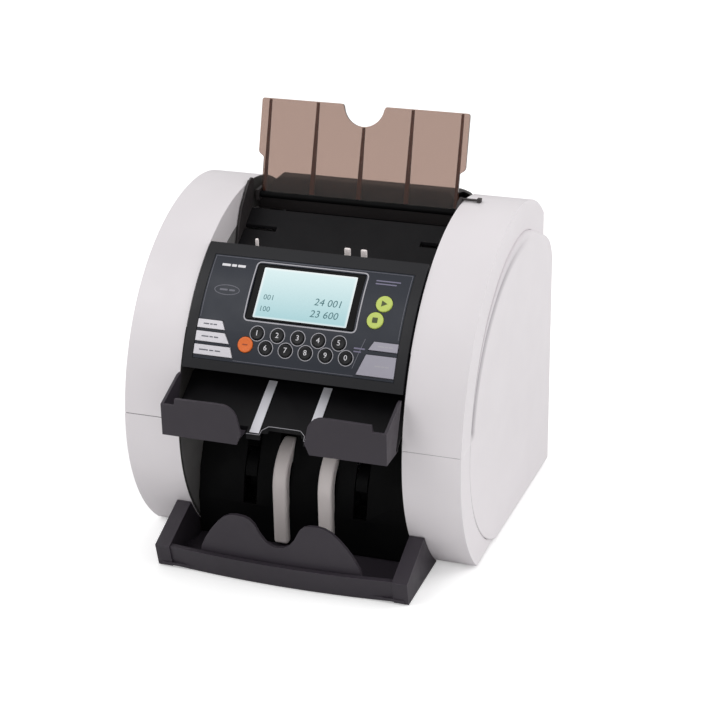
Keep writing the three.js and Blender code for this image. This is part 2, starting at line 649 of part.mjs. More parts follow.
function buildControlUnit() {
  const body = sector(UNIT_R, FACE_R, FACE_FOOT, FACE_TOP, UNIT_HALF);
  const endWall = rad(0.9);
  const hollow = sector(
    UNIT_R - 5, FACE_R - WALL, FACE_FOOT + endWall, FACE_TOP - endWall, UNIT_HALF - WALL,
  );
  const opening = sector(UNIT_R, FACE_R + 5, faceFrom, faceTo, FACE_HALF);
  const pin = rod(onFace(HINGE_ANGLE, HINGE_R), HINGE_PIN, UNIT_HALF - 3, CHANNEL + 2.2, 16);
  put('control_housing', union(cut(body, hollow, opening), pin, mirrored(pin)), CHARCOAL);
  const slack = GAP / FACE_R;
  const face = sector(FACE_R - WALL, FACE_R - GAP, faceFrom + slack, faceTo - slack, FACE_HALF - GAP);
  const windowHole = sector(UNIT_R, FACE_R + 5, angleAt(WINDOW.to), angleAt(WINDOW.from), WINDOW.x);
  const holes = KEYS.map((key) => key.placed(keySolid(key, KEY_SLACK, -12, 12)));
  put('control_face', cut(face, windowHole, ...holes), CHARCOAL);
  const middle = onPanel(0, (WINDOW.from + WINDOW.to) / 2);
  const half = (WINDOW.to - WINDOW.from) / 2 - 0.8;
  const glass = acrossZ([
    [-WINDOW.x + 0.5, -half], [WINDOW.x - 0.5, -half], [WINDOW.x - 0.5, half], [-WINDOW.x + 0.5, half],
  ], -4.2, -2);
  put('lcd_window', glass.transform(middle.toArray()), SCREEN);
}

// The frame at a point of the face: X across, Y up along the face, Z out of it.
function onPanel(x, down) {
  const angle = angleAt(down);
  const [y, z] = onFace(angle, FACE_R);
  const up = new THREE.Vector3(0, Math.sin(angle), Math.cos(angle));
  const out = new THREE.Vector3(0, -Math.cos(angle), Math.sin(angle));
  return new THREE.Matrix4().makeBasis(AXIS_X, up, out).setPosition(x, y, z);
}

const KEY_SLACK = 0.4;
const KEY_PROUD = 0.9;
const KEY_DEPTH = 3.4;
const FLANGE_DEPTH = 1.2;

// Every key: its name, its middle on the face as [x, distance down], its finish and its outline.
const round = (radius) => ({ radius });
const quad = (...corners) => ({ corners });
const KEYS = [];

function addKey(name, x, down, outline, material) {
  const placed = (solid) => solid.transform(onPanel(x, down).toArray());
  KEYS.push({ name, outline, material, placed });
}

function listKeys() {
  const upperRow = [1, 2, 3, 4, 5];
  const lowerRow = [6, 7, 8, 9, 0];
  upperRow.forEach((digit, i) => addKey(`key_${digit}`, -34 + i * 17.85, 78.6, round(5.4), KEY_DARK));
  lowerRow.forEach((digit, i) => addKey(`key_${digit}`, -24.8 + i * 17.45, 89.9, round(5.4), KEY_DARK));
  addKey('key_clear', -42.8, 89, round(6.6), KEY_ORANGE);
  addKey('key_start', 68.7, 41.5, round(7), KEY_GREEN);
  addKey('key_stop', 64.1, 56.3, round(7), KEY_GREEN);
  const steps = [
    ['key_mode', 72, 79.2, 21, 24.5],
    ['key_currency', 82, 90.3, 25, 30],
    ['key_report', 93.1, 101.4, 31.5, 34.5],
  ];
  for (const [name, top, foot, topWidth, footWidth] of steps) {
    const half = (foot - top) / 2;
    const middle = footWidth / 2;
    const corners = [[-middle, -half], [middle, -half], [topWidth - middle, half], [-middle, half]];
    addKey(name, -87.2 + middle, (top + foot) / 2, quad(...corners), KEY_LIGHT);
  }
  addKey('key_batch', 76.5, 77.4, quad([-13.5, -3.6], [11, -3.6], [11, 3.6], [-9.5, 3.6]), KEY_LAVENDER);
  addKey('key_add', 72.5, 93.4, quad([-17, -8.6], [15, -8.6], [15, 8.6], [-10.5, 8.6]), KEY_LAVENDER);
}

// A key's plan grown by a margin and made solid between two heights over the face.
function keySolid({ outline }, margin, low, high) {
  if (outline.radius) {
    const radius = outline.radius + margin;
    const geometry = new THREE.CylinderGeometry(radius, radius, high - low, 16).rotateX(Math.PI / 2);
    return toSolid(geometry.translate(0, 0, (low + high) / 2));
  }
  const grown = outline.corners.map(([x, y]) => [x + Math.sign(x) * margin * 1.3, y + Math.sign(y) * margin]);
  return acrossZ(grown, low, high);
}

function buildKeys() {
  for (const key of KEYS) {
    const stem = keySolid(key, 0, -KEY_DEPTH - FLANGE_DEPTH, KEY_PROUD);
    const flange = keySolid(key, 0.6, -KEY_DEPTH - FLANGE_DEPTH, -KEY_DEPTH);
    put(key.name, key.placed(union(stem, flange)), key.material);
  }
}

listKeys();
buildCovers();
buildSidePanels();
buildSideFrames();
buildBase();
buildRear();
buildSockets();
buildHopper();
buildGuides();
buildNotePlate();
buildFeed();
buildStacker();
buildRails();
buildDrive();
buildRejectPocket();
buildTray();
buildControlUnit();
buildKeys();

export default group;
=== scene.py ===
"""The looks of a banknote counting machine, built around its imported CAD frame.

Metres, +X to the right of somebody facing the machine, -Y the front, +Z up.
"""
import json
import math

import bmesh
import bpy
from mathutils import Matrix, Vector


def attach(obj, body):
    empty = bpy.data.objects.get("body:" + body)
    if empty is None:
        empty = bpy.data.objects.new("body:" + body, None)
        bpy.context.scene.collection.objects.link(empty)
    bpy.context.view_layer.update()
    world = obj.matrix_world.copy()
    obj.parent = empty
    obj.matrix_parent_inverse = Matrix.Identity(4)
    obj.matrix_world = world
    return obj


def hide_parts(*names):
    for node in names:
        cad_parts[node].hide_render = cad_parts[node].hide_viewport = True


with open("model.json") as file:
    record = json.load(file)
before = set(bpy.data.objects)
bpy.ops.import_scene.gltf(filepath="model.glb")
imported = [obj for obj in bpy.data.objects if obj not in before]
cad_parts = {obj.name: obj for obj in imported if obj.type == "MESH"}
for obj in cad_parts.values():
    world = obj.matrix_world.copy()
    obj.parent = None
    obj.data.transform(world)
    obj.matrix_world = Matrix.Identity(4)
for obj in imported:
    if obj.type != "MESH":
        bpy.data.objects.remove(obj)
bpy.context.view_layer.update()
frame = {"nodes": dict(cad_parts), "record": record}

MM = 0.001
NODES = frame["nodes"]

# ---------------------------------------------------------------- driving dimensions, in mm
BAND = 148.0            # half width over the pods' front bands
REAR = 149.0            # the rear of the machine
POD_Y, POD_Z = 60.0, 108.0      # the middle of the pods' upper arc and of the control face's arc
UPPER_R = 173.5         # the pods' upper arc
LOWER_R = 138.0         # their lower arc
REAR_R = 118.0          # and their rear arc
SEAM_Z = 126.0          # the seam between the upper and the lower covers
SIDE_INSET = 26.0       # the raised side panel, inside the pod's outline
CREASE_R = 142.5        # the soft valley along the side panel's front edge, above the seam
CREASE_HALF = 5.4
CREASE_DEEP = 1.6
FLANGE_X = 98.4         # the covers' flanges stand inside this half width, in the note channel
FLANGE_TOP = 200        # they are painted dark, as shade, below this height
FLANGE_REAR = 58        # and behind the hopper, from here back


def linear(red, green, blue):
    """A screen colour, 0 to 255, as the linear colour that a shader takes."""
    def channel(value):
        value /= 255
        return value / 12.92 if value <= 0.04045 else ((value + 0.055) / 1.055) ** 2.4

    return (channel(red), channel(green), channel(blue), 1.0)


# ---------------------------------------------------------------- camera
CAMERA_AT = Vector((0.5302, -1.3966, 0.7978))
CAMERA_AZIMUTH = math.radians(19.949)
CAMERA_ELEVATION = math.radians(23.579)
CAMERA_ROLL = math.radians(-1.147)
CAMERA_LENS = 94.03


def make_camera():
    """A camera with no shift, aimed by its azimuth, elevation and roll."""
    flat = math.cos(CAMERA_ELEVATION)
    back = Vector((math.sin(CAMERA_AZIMUTH) * flat, -math.cos(CAMERA_AZIMUTH) * flat,
                   math.sin(CAMERA_ELEVATION)))
    right = (-back).cross(Vector((0, 0, 1))).normalized()
    up = right.cross(-back)
    rolled_right = math.cos(CAMERA_ROLL) * right + math.sin(CAMERA_ROLL) * up
    rolled_up = math.cos(CAMERA_ROLL) * up - math.sin(CAMERA_ROLL) * right
    data = bpy.data.cameras.new("camera")
    data.lens = CAMERA_LENS
    data.sensor_width = 36
    data.clip_start, data.clip_end = 0.01, 50
    camera = bpy.data.objects.new("camera", data)
    turn = Matrix((rolled_right, rolled_up, back)).transposed()
    camera.matrix_world = Matrix.Translation(CAMERA_AT) @ turn.to_4x4()
    bpy.context.scene.collection.objects.link(camera)
    bpy.context.scene.camera = camera


make_camera()


# ---------------------------------------------------------------- materials
GRAIN_HEIGHT = 0.1 * MM
WEAR_RADIUS = 0.8 * MM
WEAR_TURN = (0.86, 0.985)       # cosine of the turn over which wear fades out
WEAR_PATCHES = (0.42, 0.62)
WEAR_PALER = 3.2


class Shader:
    """A material with one Principled shader and short ways to add the nodes that feed it."""

    def __init__(self, name, color, roughness, **sockets):
        self.material = bpy.data.materials.new(name)
        self.material.use_nodes = True
        self.tree = self.material.node_tree
        self.bsdf = self.tree.nodes["Principled BSDF"]
        self.bsdf.inputs["Base Color"].default_value = color
        self.bsdf.inputs["Roughness"].default_value = roughness
        for key, value in sockets.items():
            self.bsdf.inputs[key.replace("_", " ")].default_value = value
        self.coordinates = self.add("ShaderNodeTexCoord").outputs["Object"]

    def add(self, kind, **settings):
        node = self.tree.nodes.new(kind)
        for key, value in settings.items():
            setattr(node, key, value)
        return node

    def feed(self, value, target):
        """Gives an input another node's output, or a constant."""
        if hasattr(value, "is_output"):
            self.tree.links.new(value, target)
        else:
            target.default_value = value

    def calc(self, operation, *values):
        """One step of arithmetic on constants and other nodes' outputs."""
        node = self.add("ShaderNodeMath", operation=operation)
        for value, target in zip(values, node.inputs):
            self.feed(value, target)
        return node.outputs[0]

    def axes(self, place):
        """The X, Y and Z of a place."""
        node = self.add("ShaderNodeSeparateXYZ")
        self.feed(place, node.inputs[0])
        return node.outputs

    def noise(self, scale, detail=2.0, stretch=(1, 1, 1)):
        mapping = self.add("ShaderNodeMapping")
        mapping.inputs["Scale"].default_value = stretch
        self.feed(self.coordinates, mapping.inputs["Vector"])
        noise = self.add("ShaderNodeTexNoise")
        noise.inputs["Scale"].default_value = scale
        noise.inputs["Detail"].default_value = detail
        self.feed(mapping.outputs["Vector"], noise.inputs["Vector"])
        return noise.outputs["Fac"]

    def spread(self, value, low, high, from_low=0.3, from_high=0.7):
        """A pattern turned from one range, which for noise is 0.3 to 0.7, into another."""
        node = self.add("ShaderNodeMapRange")
        node.inputs["From Min"].default_value = from_low
        node.inputs["From Max"].default_value = from_high
        node.inputs["To Min"].default_value = low
        node.inputs["To Max"].default_value = high
        self.feed(value, node.inputs["Value"])
        return node.outputs["Result"]

    def blend(self, factor, first, second):
        node = self.add("ShaderNodeMix", data_type="RGBA")
        self.feed(factor, node.inputs["Factor"])
        for socket, value in (("A", first), ("B", second)):
            self.feed(value, [s for s in node.inputs if s.name == socket and s.type == "RGBA"][0])
        return [s for s in node.outputs if s.type == "RGBA"][0]

    def rubbed(self, strength):
        """Where hands have polished the sharp edges: patchy, and nothing on flat faces."""
        soft = self.add("ShaderNodeBevel", samples=4)
        soft.inputs["Radius"].default_value = WEAR_RADIUS
        flat = self.add("ShaderNodeNewGeometry")
        turned = self.add("ShaderNodeVectorMath", operation="DOT_PRODUCT")
        self.feed(soft.outputs["Normal"], turned.inputs[0])
        self.feed(flat.outputs["Normal"], turned.inputs[1])
        edge = self.spread(turned.outputs["Value"], strength, 0, *WEAR_TURN)
        patches = self.spread(self.noise(170, 4), 0, 1, *WEAR_PATCHES)
        return self.calc("MULTIPLY", edge, patches)

    def paint(self, color):
        self.feed(color, self.bsdf.inputs["Base Color"])
        return self

    def polish(self, roughness):
        self.feed(roughness, self.bsdf.inputs["Roughness"])
        return self

    def bump(self, height, strength):
        node = self.add("ShaderNodeBump")
        node.inputs["Strength"].default_value = strength
        node.inputs["Distance"].default_value = GRAIN_HEIGHT
        self.feed(height, node.inputs["Height"])
        self.feed(node.outputs["Normal"], self.bsdf.inputs["Normal"])
        return self


def shade(color, factor):
    """A colour made lighter or darker."""
    return tuple(min(1.0, c * factor) for c in color[:3]) + (1.0,)


def textured(name, color, roughness, grain=1400, depth=0.25, **sockets):
    """A moulded surface: a spark-eroded grain, and slow changes in polish."""
    shader = Shader(name, color, roughness, **sockets)
    shader.polish(shader.spread(shader.noise(45, 4), roughness - 0.07, roughness + 0.07))
    return shader.bump(shader.noise(grain, 2), depth)


def moulded(name, color, roughness, vary=0.06, wear=0.0, **finish):
    """Moulded plastic with slow changes in tone, and paler where its edges are rubbed."""
    shader = textured(name, color, roughness, **finish)
    slow = shader.spread(shader.noise(9, 3), 0, 1)
    tone = shader.blend(slow, shade(color, 1 - vary), shade(color, 1 + vary))
    if wear:
        tone = shader.blend(shader.rubbed(wear), tone, shade(color, WEAR_PALER))
    return shader.paint(tone).material


# Each plastic's screen colour, its roughness, and where it differs from the usual finish.
PLASTICS = {
    "charcoal_plastic": ((48, 44, 45), 0.5, {"wear": 0.45}),
    "frame_plastic": ((118, 116, 116), 0.6, {"vary": 0.2}),
    "tray_plastic": ((54, 49, 56), 0.48, {"wear": 0.5, "Specular_IOR_Level": 0.4}),
    "panel_plastic": ((25, 25, 29), 0.45, {"depth": 0.15, "Specular_IOR_Level": 0.35}),
    "face_film": ((38, 42, 52), 0.4, {"depth": 0.12, "Specular_IOR_Level": 0.35}),
    "black_plastic": ((14, 13, 16), 0.55, {"Specular_IOR_Level": 0.2}),
    "ivory_plastic": ((250, 240, 238), 0.5, {"depth": 0.15}),
    "foot_rubber": ((26, 26, 26), 0.85, {"depth": 0.4}),
    "roller_rubber": ((18, 18, 19), 0.85, {"depth": 0.4, "Specular_IOR_Level": 0.15}),
    "motor_housing": ((48, 48, 52), 0.4, {}),
    "circuit_board": ((24, 84, 48), 0.5, {}),
    "key_dark": ((15, 15, 18), 0.35, {"depth": 0.1, "Specular_IOR_Level": 0.3}),
    "key_orange": ((232, 112, 40), 0.4, {"depth": 0.1}),
    "key_green": ((196, 212, 104), 0.4, {"depth": 0.1}),
    "key_light": ((222, 219, 225), 0.4, {"depth": 0.1}),
    "key_lavender": ((166, 163, 175), 0.4, {"depth": 0.1}),
    "screen": ((5, 5, 6), 0.35, {"depth": 0.02, "Specular_IOR_Level": 0.12}),
    "smoke_rib": ((122, 82, 64), 0.3, {"depth": 0.1}),
    "pitch": ((7, 7, 8), 0.6, {"Specular_IOR_Level": 0.1}),
    "lcd_ink": ((70, 118, 124), 0.5, {"depth": 0.05}),
    "ink_light": ((176, 174, 180), 0.5, {"depth": 0.1}),
    "ink_white": ((228, 226, 230), 0.5, {"depth": 0.1}),
    "ink_lavender": ((122, 118, 142), 0.5, {"depth": 0.1}),
    "ink_dim": ((104, 104, 114), 0.5, {"depth": 0.1}),
    "ink_dark": ((74, 82, 44), 0.5, {"depth": 0.1}),
    "ink_rust": ((150, 66, 34), 0.5, {"depth": 0.1}),
    "seam_grey": ((112, 108, 112), 0.7, {"depth": 0.1}),
    "stripe_grey": ((232, 231, 238), 0.38, {"depth": 0.15}),
}


def make_steel(name, color):
    """Bare metal with fine lines drawn across the machine."""
    steel = Shader(name, color, 0.34, Metallic=1.0)
    lines = steel.noise(600, 3, stretch=(0.04, 1, 1))
    return steel.polish(steel.spread(lines, 0.26, 0.44)).bump(lines, 0.08).material


def make_smoked():
    """A clear sheet that is tinted brown, under light dust."""
    shader = Shader("smoked_plate", (0.345, 0.24, 0.2, 1), 0.05, IOR=1.49, Transmission_Weight=1.0)
    return shader.polish(shader.spread(shader.noise(160, 5), 0.02, 0.09)).material


def white_plastic(name):
    """The pods' white plastic, and the tone that its darker parts are painted over."""
    shader = textured(name, linear(234, 229, 232), 0.4, grain=1100, depth=0.1)
    slow = shader.spread(shader.noise(9, 3), 0, 1)
    return shader, shader.blend(slow, linear(231, 226, 229), linear(237, 232, 235))


def make_cover_white():
    """White moulded covers; their flanges are painted dark under the panel and behind the hopper, as shade.
    """
    shader, white = white_plastic("cover_white")
    x, y, z = shader.axes(shader.coordinates)
    inside = shader.calc("LESS_THAN", shader.calc("ABSOLUTE", x), FLANGE_X * MM)
    low = shader.calc("LESS_THAN", z, FLANGE_TOP * MM)
    rear = shader.calc("GREATER_THAN", y, FLANGE_REAR * MM)
    # Painted shade: the flanges darken inside the note channel below the panel and behind the hopper.
    shaded_flange = shader.calc("MULTIPLY", inside, shader.calc("MAXIMUM", low, rear))
    dark = shader.blend(shader.noise(60, 3), linear(52, 50, 50), linear(84, 82, 80))
    return shader.paint(shader.blend(shaded_flange, white, dark)).material


def make_side_white():
    """The side panels' white, with painted shade in the valley down their front edges."""
    shader, white = white_plastic("side_white")
    y, z = shader.axes(shader.coordinates)[1:]
    back = shader.calc("SUBTRACT", y, POD_Y * MM)
    up = shader.calc("SUBTRACT", z, POD_Z * MM)
    squares = shader.calc("ADD", shader.calc("MULTIPLY", back, back), shader.calc("MULTIPLY", up, up))
    off = shader.calc("SUBTRACT", shader.calc("SQRT", squares), CREASE_R * MM)
    near = shader.spread(shader.calc("ABSOLUTE", off), 0.95, 0, 0.4 * MM, 5.6 * MM)
    rise = shader.spread(z, 0, 1, (SEAM_Z + 1) * MM, (SEAM_Z + 8) * MM)
    fall = shader.spread(y, 1, 0, 0, 74 * MM)
    # Painted shade: the white darkens near the crease's radius, above the seam and towards the front.
    crease_shade = shader.calc("MULTIPLY", shader.calc("MULTIPLY", near, rise), fall)
    return shader.paint(shader.blend(crease_shade, white, linear(160, 154, 160))).material


def make_lcd():
    """The lit display: pale cyan, deeper towards its foot, and whiter along its edges."""
    shader = Shader("lcd_lit", linear(60, 66, 68), 0.3)
    across, _, up = shader.axes(shader.add("ShaderNodeTexCoord").outputs["Generated"])
    tone = shader.blend(up, linear(160, 206, 212), linear(222, 243, 244))
    edges = []
    for place, border in ((across, 0.03), (up, 0.05)):
        away = shader.calc("ABSOLUTE", shader.calc("SUBTRACT", place, 0.5))
        edges.append(shader.spread(away, 0, 0.75, 0.5 - border, 0.5))
    lit = shader.blend(shader.calc("MAXIMUM", *edges), tone, (1, 1, 1, 1))
    scaled = shader.add("ShaderNodeVectorMath", operation="SCALE")
    shader.feed(lit, scaled.inputs[0])
    shader.feed(shader.spread(shader.noise(1500, 2), 0.97, 1.03), scaled.inputs["Scale"])
    shader.feed(scaled.outputs["Vector"], shader.bsdf.inputs["Emission Color"])
    shader.bsdf.inputs["Emission Strength"].default_value = 0.86
    return shader.material


MATERIALS = {name: moulded(name, linear(*color), roughness, **finish)
             for name, (color, roughness, finish) in PLASTICS.items()}
MATERIALS["shaft_steel"] = make_steel("shaft_steel", (0.55, 0.55, 0.57, 1))
MATERIALS["base_pan"] = make_steel("base_pan", (0.14, 0.14, 0.145, 1))
MATERIALS["cover_white"] = make_cover_white()
MATERIALS["side_white"] = make_side_white()
MATERIALS["smoked_plate"] = make_smoked()
MATERIALS["lcd_lit"] = make_lcd()


# ---------------------------------------------------------------- CAD nodes
SHARP = math.radians(32)        # an edge turns more than this where the shading breaks
CORNER = math.radians(28)       # and more than this where it is rounded
FLAT = math.radians(0.6)        # faces that turn less than this are one face


def edge_finish():
    """A geometry group that shades a mesh smooth except over its sharp edges."""
    group = bpy.data.node_groups.new("edge_finish", "GeometryNodeTree")
    group.interface.new_socket("Geometry", in_out="INPUT", socket_type="NodeSocketGeometry")
    group.interface.new_socket("Geometry", in_out="OUTPUT", socket_type="NodeSocketGeometry")
    start = group.nodes.new("NodeGroupInput")
    end = group.nodes.new("NodeGroupOutput")
    faces = group.nodes.new("GeometryNodeSetShadeSmooth")
    faces.domain = "FACE"
    edges = group.nodes.new("GeometryNodeSetShadeSmooth")
    edges.domain = "EDGE"
    edges.inputs["Shade Smooth"].default_value = False
    angle = group.nodes.new("GeometryNodeInputMeshEdgeAngle")
    sharp = group.nodes.new("FunctionNodeCompare")
    sharp.data_type = "FLOAT"
    sharp.operation = "GREATER_THAN"
    sharp.inputs["B"].default_value = SHARP
    group.links.new(angle.outputs["Unsigned Angle"], sharp.inputs["A"])
    group.links.new(start.outputs[0], faces.inputs["Geometry"])
    group.links.new(faces.outputs["Geometry"], edges.inputs["Geometry"])
    group.links.new(sharp.outputs["Result"], edges.inputs["Selection"])
    group.links.new(edges.outputs["Geometry"], end.inputs[0])
    return group


EDGE_FINISH = edge_finish()


def soften(piece):
    """Shades a piece smooth except over its sharp edges."""
    piece.modifiers.new("shading", "NODES").node_group = EDGE_FINISH


def round_edges(piece, width, merged=True):
    """Rounds a piece's edges and keeps its flat faces flat."""
    weld = piece.modifiers.new("weld", "WELD")
    weld.merge_threshold = 0.01 * MM
    if merged:
        merge = piece.modifiers.new("flats", "DECIMATE")
        merge.decimate_type = "DISSOLVE"
        merge.angle_limit = FLAT
    if width:
        bevel = piece.modifiers.new("edges", "BEVEL")
        bevel.width = width
        bevel.segments = 3
        bevel.limit_method = "ANGLE"
        bevel.angle_limit = CORNER
        bevel.use_clamp_overlap = True
        bevel.miter_outer = "MITER_ARC"
    soften(piece)
    weights = piece.modifiers.new("weights", "WEIGHTED_NORMAL")
    weights.keep_sharp = True
    weights.weight = 100


SLOT_OF = {row["node"]: row["material_slot"] for row in frame["record"]["subparts"]}
USUAL_EDGE_MM = 0.3
EDGE_MM = {
    "cover_white": 1.0, "charcoal_plastic": 0.5, "tray_plastic": 0.7, "panel_plastic": 0.5,
    "ivory_plastic": 2.6, "foot_rubber": 0.4, "motor_housing": 0.8, "circuit_board": 0.1,
    "shaft_steel": 0.2, "base_pan": 0.2, "smoked_plate": 0.25, "screen": 0.1,
}
# Nodes with many openings, whose faces stay as they are.
PIERCED = ("rear_cover", "hopper_floor", "stacker_back", "reject_floor", "side_frame_left",
           "side_frame_right", "power_inlet", "control_face", "control_housing")
# Nodes that look unlike the rest of their slot.
LOOKS = {"control_face": "face_film", "stacker_back": "pitch", "stacker_wheel_left": "pitch",
         "stacker_wheel_right": "pitch", "transport_guide": "pitch"}


def finish_nodes():
    """Gives every CAD node its material and rounds its edges."""
    for name, node in NODES.items():
        slot = SLOT_OF[name]
        node.data.materials.clear()
        node.data.materials.append(MATERIALS[LOOKS.get(name, slot)])
        for attribute in [a for a in node.data.attributes if a.name == "custom_normal"]:
            node.data.attributes.remove(attribute)
        round_edges(node, EDGE_MM.get(slot, USUAL_EDGE_MM) * MM, merged=name not in PIERCED)


finish_nodes()


# ---------------------------------------------------------------- new pieces
def add_piece(name, mesh, slot, body):
    """A new piece that rides on a body, with the material named by slot."""
    piece = bpy.data.objects.new(name, mesh)
    bpy.context.scene.collection.objects.link(piece)
    mesh.materials.append(MATERIALS[slot])
    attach(piece, body)
    return piece


def mesh_from(bm, name):
    """The mesh of a finished bmesh, with its faces pointing out."""
    bmesh.ops.recalc_face_normals(bm, faces=bm.faces[:])
    mesh = bpy.data.meshes.new(name)
    bm.to_mesh(mesh)
    bm.free()
    return mesh


def join_rings(bm, rings):
    """Faces from each ring of vertices to the next, and one over each end."""
    count = len(rings[0])
    for low, high in zip(rings, rings[1:]):
        for k in range(count):
            bm.faces.new((low[k], low[(k + 1) % count], high[(k + 1) % count], high[k]))
    return [bm.faces.new(ring) for ring in (rings[0], rings[-1])]


def fillet(corners, steps=6):
    """A plan whose corners, given as (x, y, radius), are rounded."""
    points = []
    for i, (x, y, radius) in enumerate(corners):
        here = Vector((x, y))
        if not radius:
            points.append((x, y))
            continue
        before = (Vector(corners[i - 1][:2]) - here).normalized() * radius + here
        after = (Vector(corners[(i + 1) % len(corners)][:2]) - here).normalized() * radius + here
        for k in range(steps + 1):
            t = k / steps
            point = before * (1 - t) ** 2 + here * 2 * t * (1 - t) + after * t ** 2
            points.append((point.x, point.y))
    return points


def oval(x, y, wide, high, steps=32):
    return [(x + wide * math.cos(2 * math.pi * k / steps), y + high * math.sin(2 * math.pi * k / steps))
            for k in range(steps)]


def bar(x0, x1, y0, y1, radius=0.0, steps=4):
    return fillet([(x0, y0, radius), (x1, y0, radius), (x1, y1, radius), (x0, y1, radius)], steps)


def band(outer, inner):
    """The strip between two closed plans with as many points each."""
    count = len(outer)
    return [[outer[k], outer[(k + 1) % count], inner[(k + 1) % count], inner[k]] for k in range(count)]


def stroke(points, width):
    """A straight-sided line of even width through a run of points, as separate quads."""
    quads = []
    for (x0, y0), (x1, y1) in zip(points, points[1:]):
        along = Vector((x1 - x0, y1 - y0)).normalized() * width / 2
        side = Vector((-along.y, along.x))
        quads.append([(x0 + side.x, y0 + side.y), (x1 + side.x, y1 + side.y),
                      (x1 - side.x, y1 - side.y), (x0 - side.x, y0 - side.y)])
    return quads


CAP_HEIGHT = 0.7        # height of the font's digits, as a part of its size


def numeral(text, x, y, height, lean=0.0):
    """Digits as plans in millimetres, centred on a point, with y downwards."""
    curve = bpy.data.curves.new("digits", "FONT")
    curve.body = text
    curve.align_x, curve.align_y = "CENTER", "CENTER"
    curve.size = height / CAP_HEIGHT
    curve.shear = lean
    curve.resolution_u = 3
    holder = bpy.data.objects.new("digits", curve)
    bpy.context.scene.collection.objects.link(holder)
    graph = bpy.context.evaluated_depsgraph_get()
    mesh = bpy.data.meshes.new_from_object(holder.evaluated_get(graph))
    plans = [[(x + mesh.vertices[v].co.x, y - mesh.vertices[v].co.y) for v in face.vertices]
             for face in mesh.polygons]
    bpy.data.objects.remove(holder)
    bpy.data.curves.remove(curve)
    bpy.data.meshes.remove(mesh)
    return plans


# The control face is a sheet bent round a line across the machine. A place on it is (x, down),
# where down runs from the panel's top edge along the arc; out is the height over the face.
FACE_R = UPPER_R + 2.2
FACE_TOP = math.radians(58.2)
FACE_SKIN = -0.3        # the face's own surface, under the housing's by the gap between them
PRINT = (FACE_SKIN - 0.1, FACE_SKIN + 0.12)     # the foot and the top of a print on it
CUT = 4.0               # spacing of the cuts that let a print follow the bend
WIDE_CUT = 60.0         # and of those on a flat patch


def on_panel(x, down, out):
    angle = FACE_TOP - down / FACE_R
    reach = FACE_R + out
    return Vector((x, POD_Y - reach * math.cos(angle), POD_Z + reach * math.sin(angle))) * MM


def on_flat(middle):
    """The same for a flat patch that touches the face at a distance down it."""
    angle = FACE_TOP - middle / FACE_R
    up = Vector((0, math.sin(angle), math.cos(angle)))
    normal = Vector((0, -math.cos(angle), math.sin(angle)))
    start = on_panel(0, middle, 0)
    return lambda x, down, out: start + Vector((x, 0, 0)) * MM + up * (middle - down) * MM + normal * out * MM


def printed(name, plans, low, high, slot, body="control_unit", place=on_panel, cuts=CUT):
    """A thin closed relief, from plans in (x, down), laid on the face between two heights."""
    bm = bmesh.new()
    for plan in plans:
        bm.faces.new([bm.verts.new((x, down, 0)) for x, down in plan])
    bmesh.ops.triangulate(bm, faces=bm.faces[:])
    bmesh.ops.remove_doubles(bm, verts=bm.verts[:], dist=0.002)
    first = math.ceil(min(v.co.y for v in bm.verts) / cuts)
    last = math.floor(max(v.co.y for v in bm.verts) / cuts)
    for k in range(first, last + 1):
        everything = bm.verts[:] + bm.edges[:] + bm.faces[:]
        bmesh.ops.bisect_plane(bm, geom=everything, plane_co=(0, k * cuts, 0), plane_no=(0, 1, 0))
    bmesh.ops.recalc_face_normals(bm, faces=bm.faces[:])
    top = bmesh.ops.extrude_face_region(bm, geom=bm.faces[:], use_keep_orig=True)
    raised = {v for v in top["geom"] if isinstance(v, bmesh.types.BMVert)}
    for vertex in bm.verts:
        vertex.co = place(vertex.co.x, vertex.co.y, high if vertex in raised else low)
    return add_piece(name, mesh_from(bm, name), slot, body)


# ---------------------------------------------------------------- keys and prints
KEY_PROUD = 0.9         # height of a round cap over the face
KEY_ROOT = -4.4
KEY_SHOULDER = 0.9
KEY_DISH = 0.22
CAP_SIDES = 40
MARK = (0.4, KEY_PROUD + 0.03)      # the foot and the top of the mark on a key
DIGIT_R = 5.4
DIGIT_HEIGHT = 4.4
RIM_IN, RIM_OUT = 0.65, 1.25        # the ring printed round a digit key, outside its cap
GREEN_R = 7.0
# A row's digits, the place of its first key, the distance between keys, and how far down it is.
DIGIT_ROWS = (("12345", -34.0, 17.85, 78.6), ("67890", -24.8, 17.45, 89.9))
ROUND_KEYS = {digit: (first + pitch * order, down, DIGIT_R, "key_dark")
              for digits, first, pitch, down in DIGIT_ROWS for order, digit in enumerate(digits)}
ROUND_KEYS["clear"] = (-42.8, 89.0, 6.6, "key_orange")
ROUND_KEYS["start"] = (68.7, 41.5, GREEN_R, "key_green")
ROUND_KEYS["stop"] = (64.1, 56.3, GREEN_R, "key_green")


def key_cap(name, x, down, radius, slot):
    """A turned cap with a rounded shoulder and a shallow dish for the fingertip."""
    inner = radius - KEY_SHOULDER
    profile = [(radius, KEY_ROOT), (radius, KEY_PROUD - KEY_SHOULDER)]
    for k in range(1, 6):
        angle = math.radians(18 * k)
        profile.append((radius - KEY_SHOULDER * (1 - math.cos(angle)),
                        KEY_PROUD - KEY_SHOULDER * (1 - math.sin(angle))))
    for k in range(1, 7):
        reach = inner * (1 - k / 7)
        profile.append((reach, KEY_PROUD - KEY_DISH * (1 - (reach / inner) ** 2)))
    place = on_flat(down)
    bm = bmesh.new()
    join_rings(bm, [[bm.verts.new(place(*point, out)) for point in oval(x, down, reach, reach, CAP_SIDES)]
                    for reach, out in profile])
    mesh = mesh_from(bm, name)
    for face in mesh.polygons:
        face.use_smooth = True
    cap = add_piece(f"cap_{name}", mesh, slot, f"button_{name}")
    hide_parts(f"key_{name}")
    soften(cap)


def key_mark(name, plans, down, slot):
    """A mark that stands a little over its key's cap."""
    printed(f"mark_{name}", plans, *MARK, slot, f"button_{name}", on_flat(down))


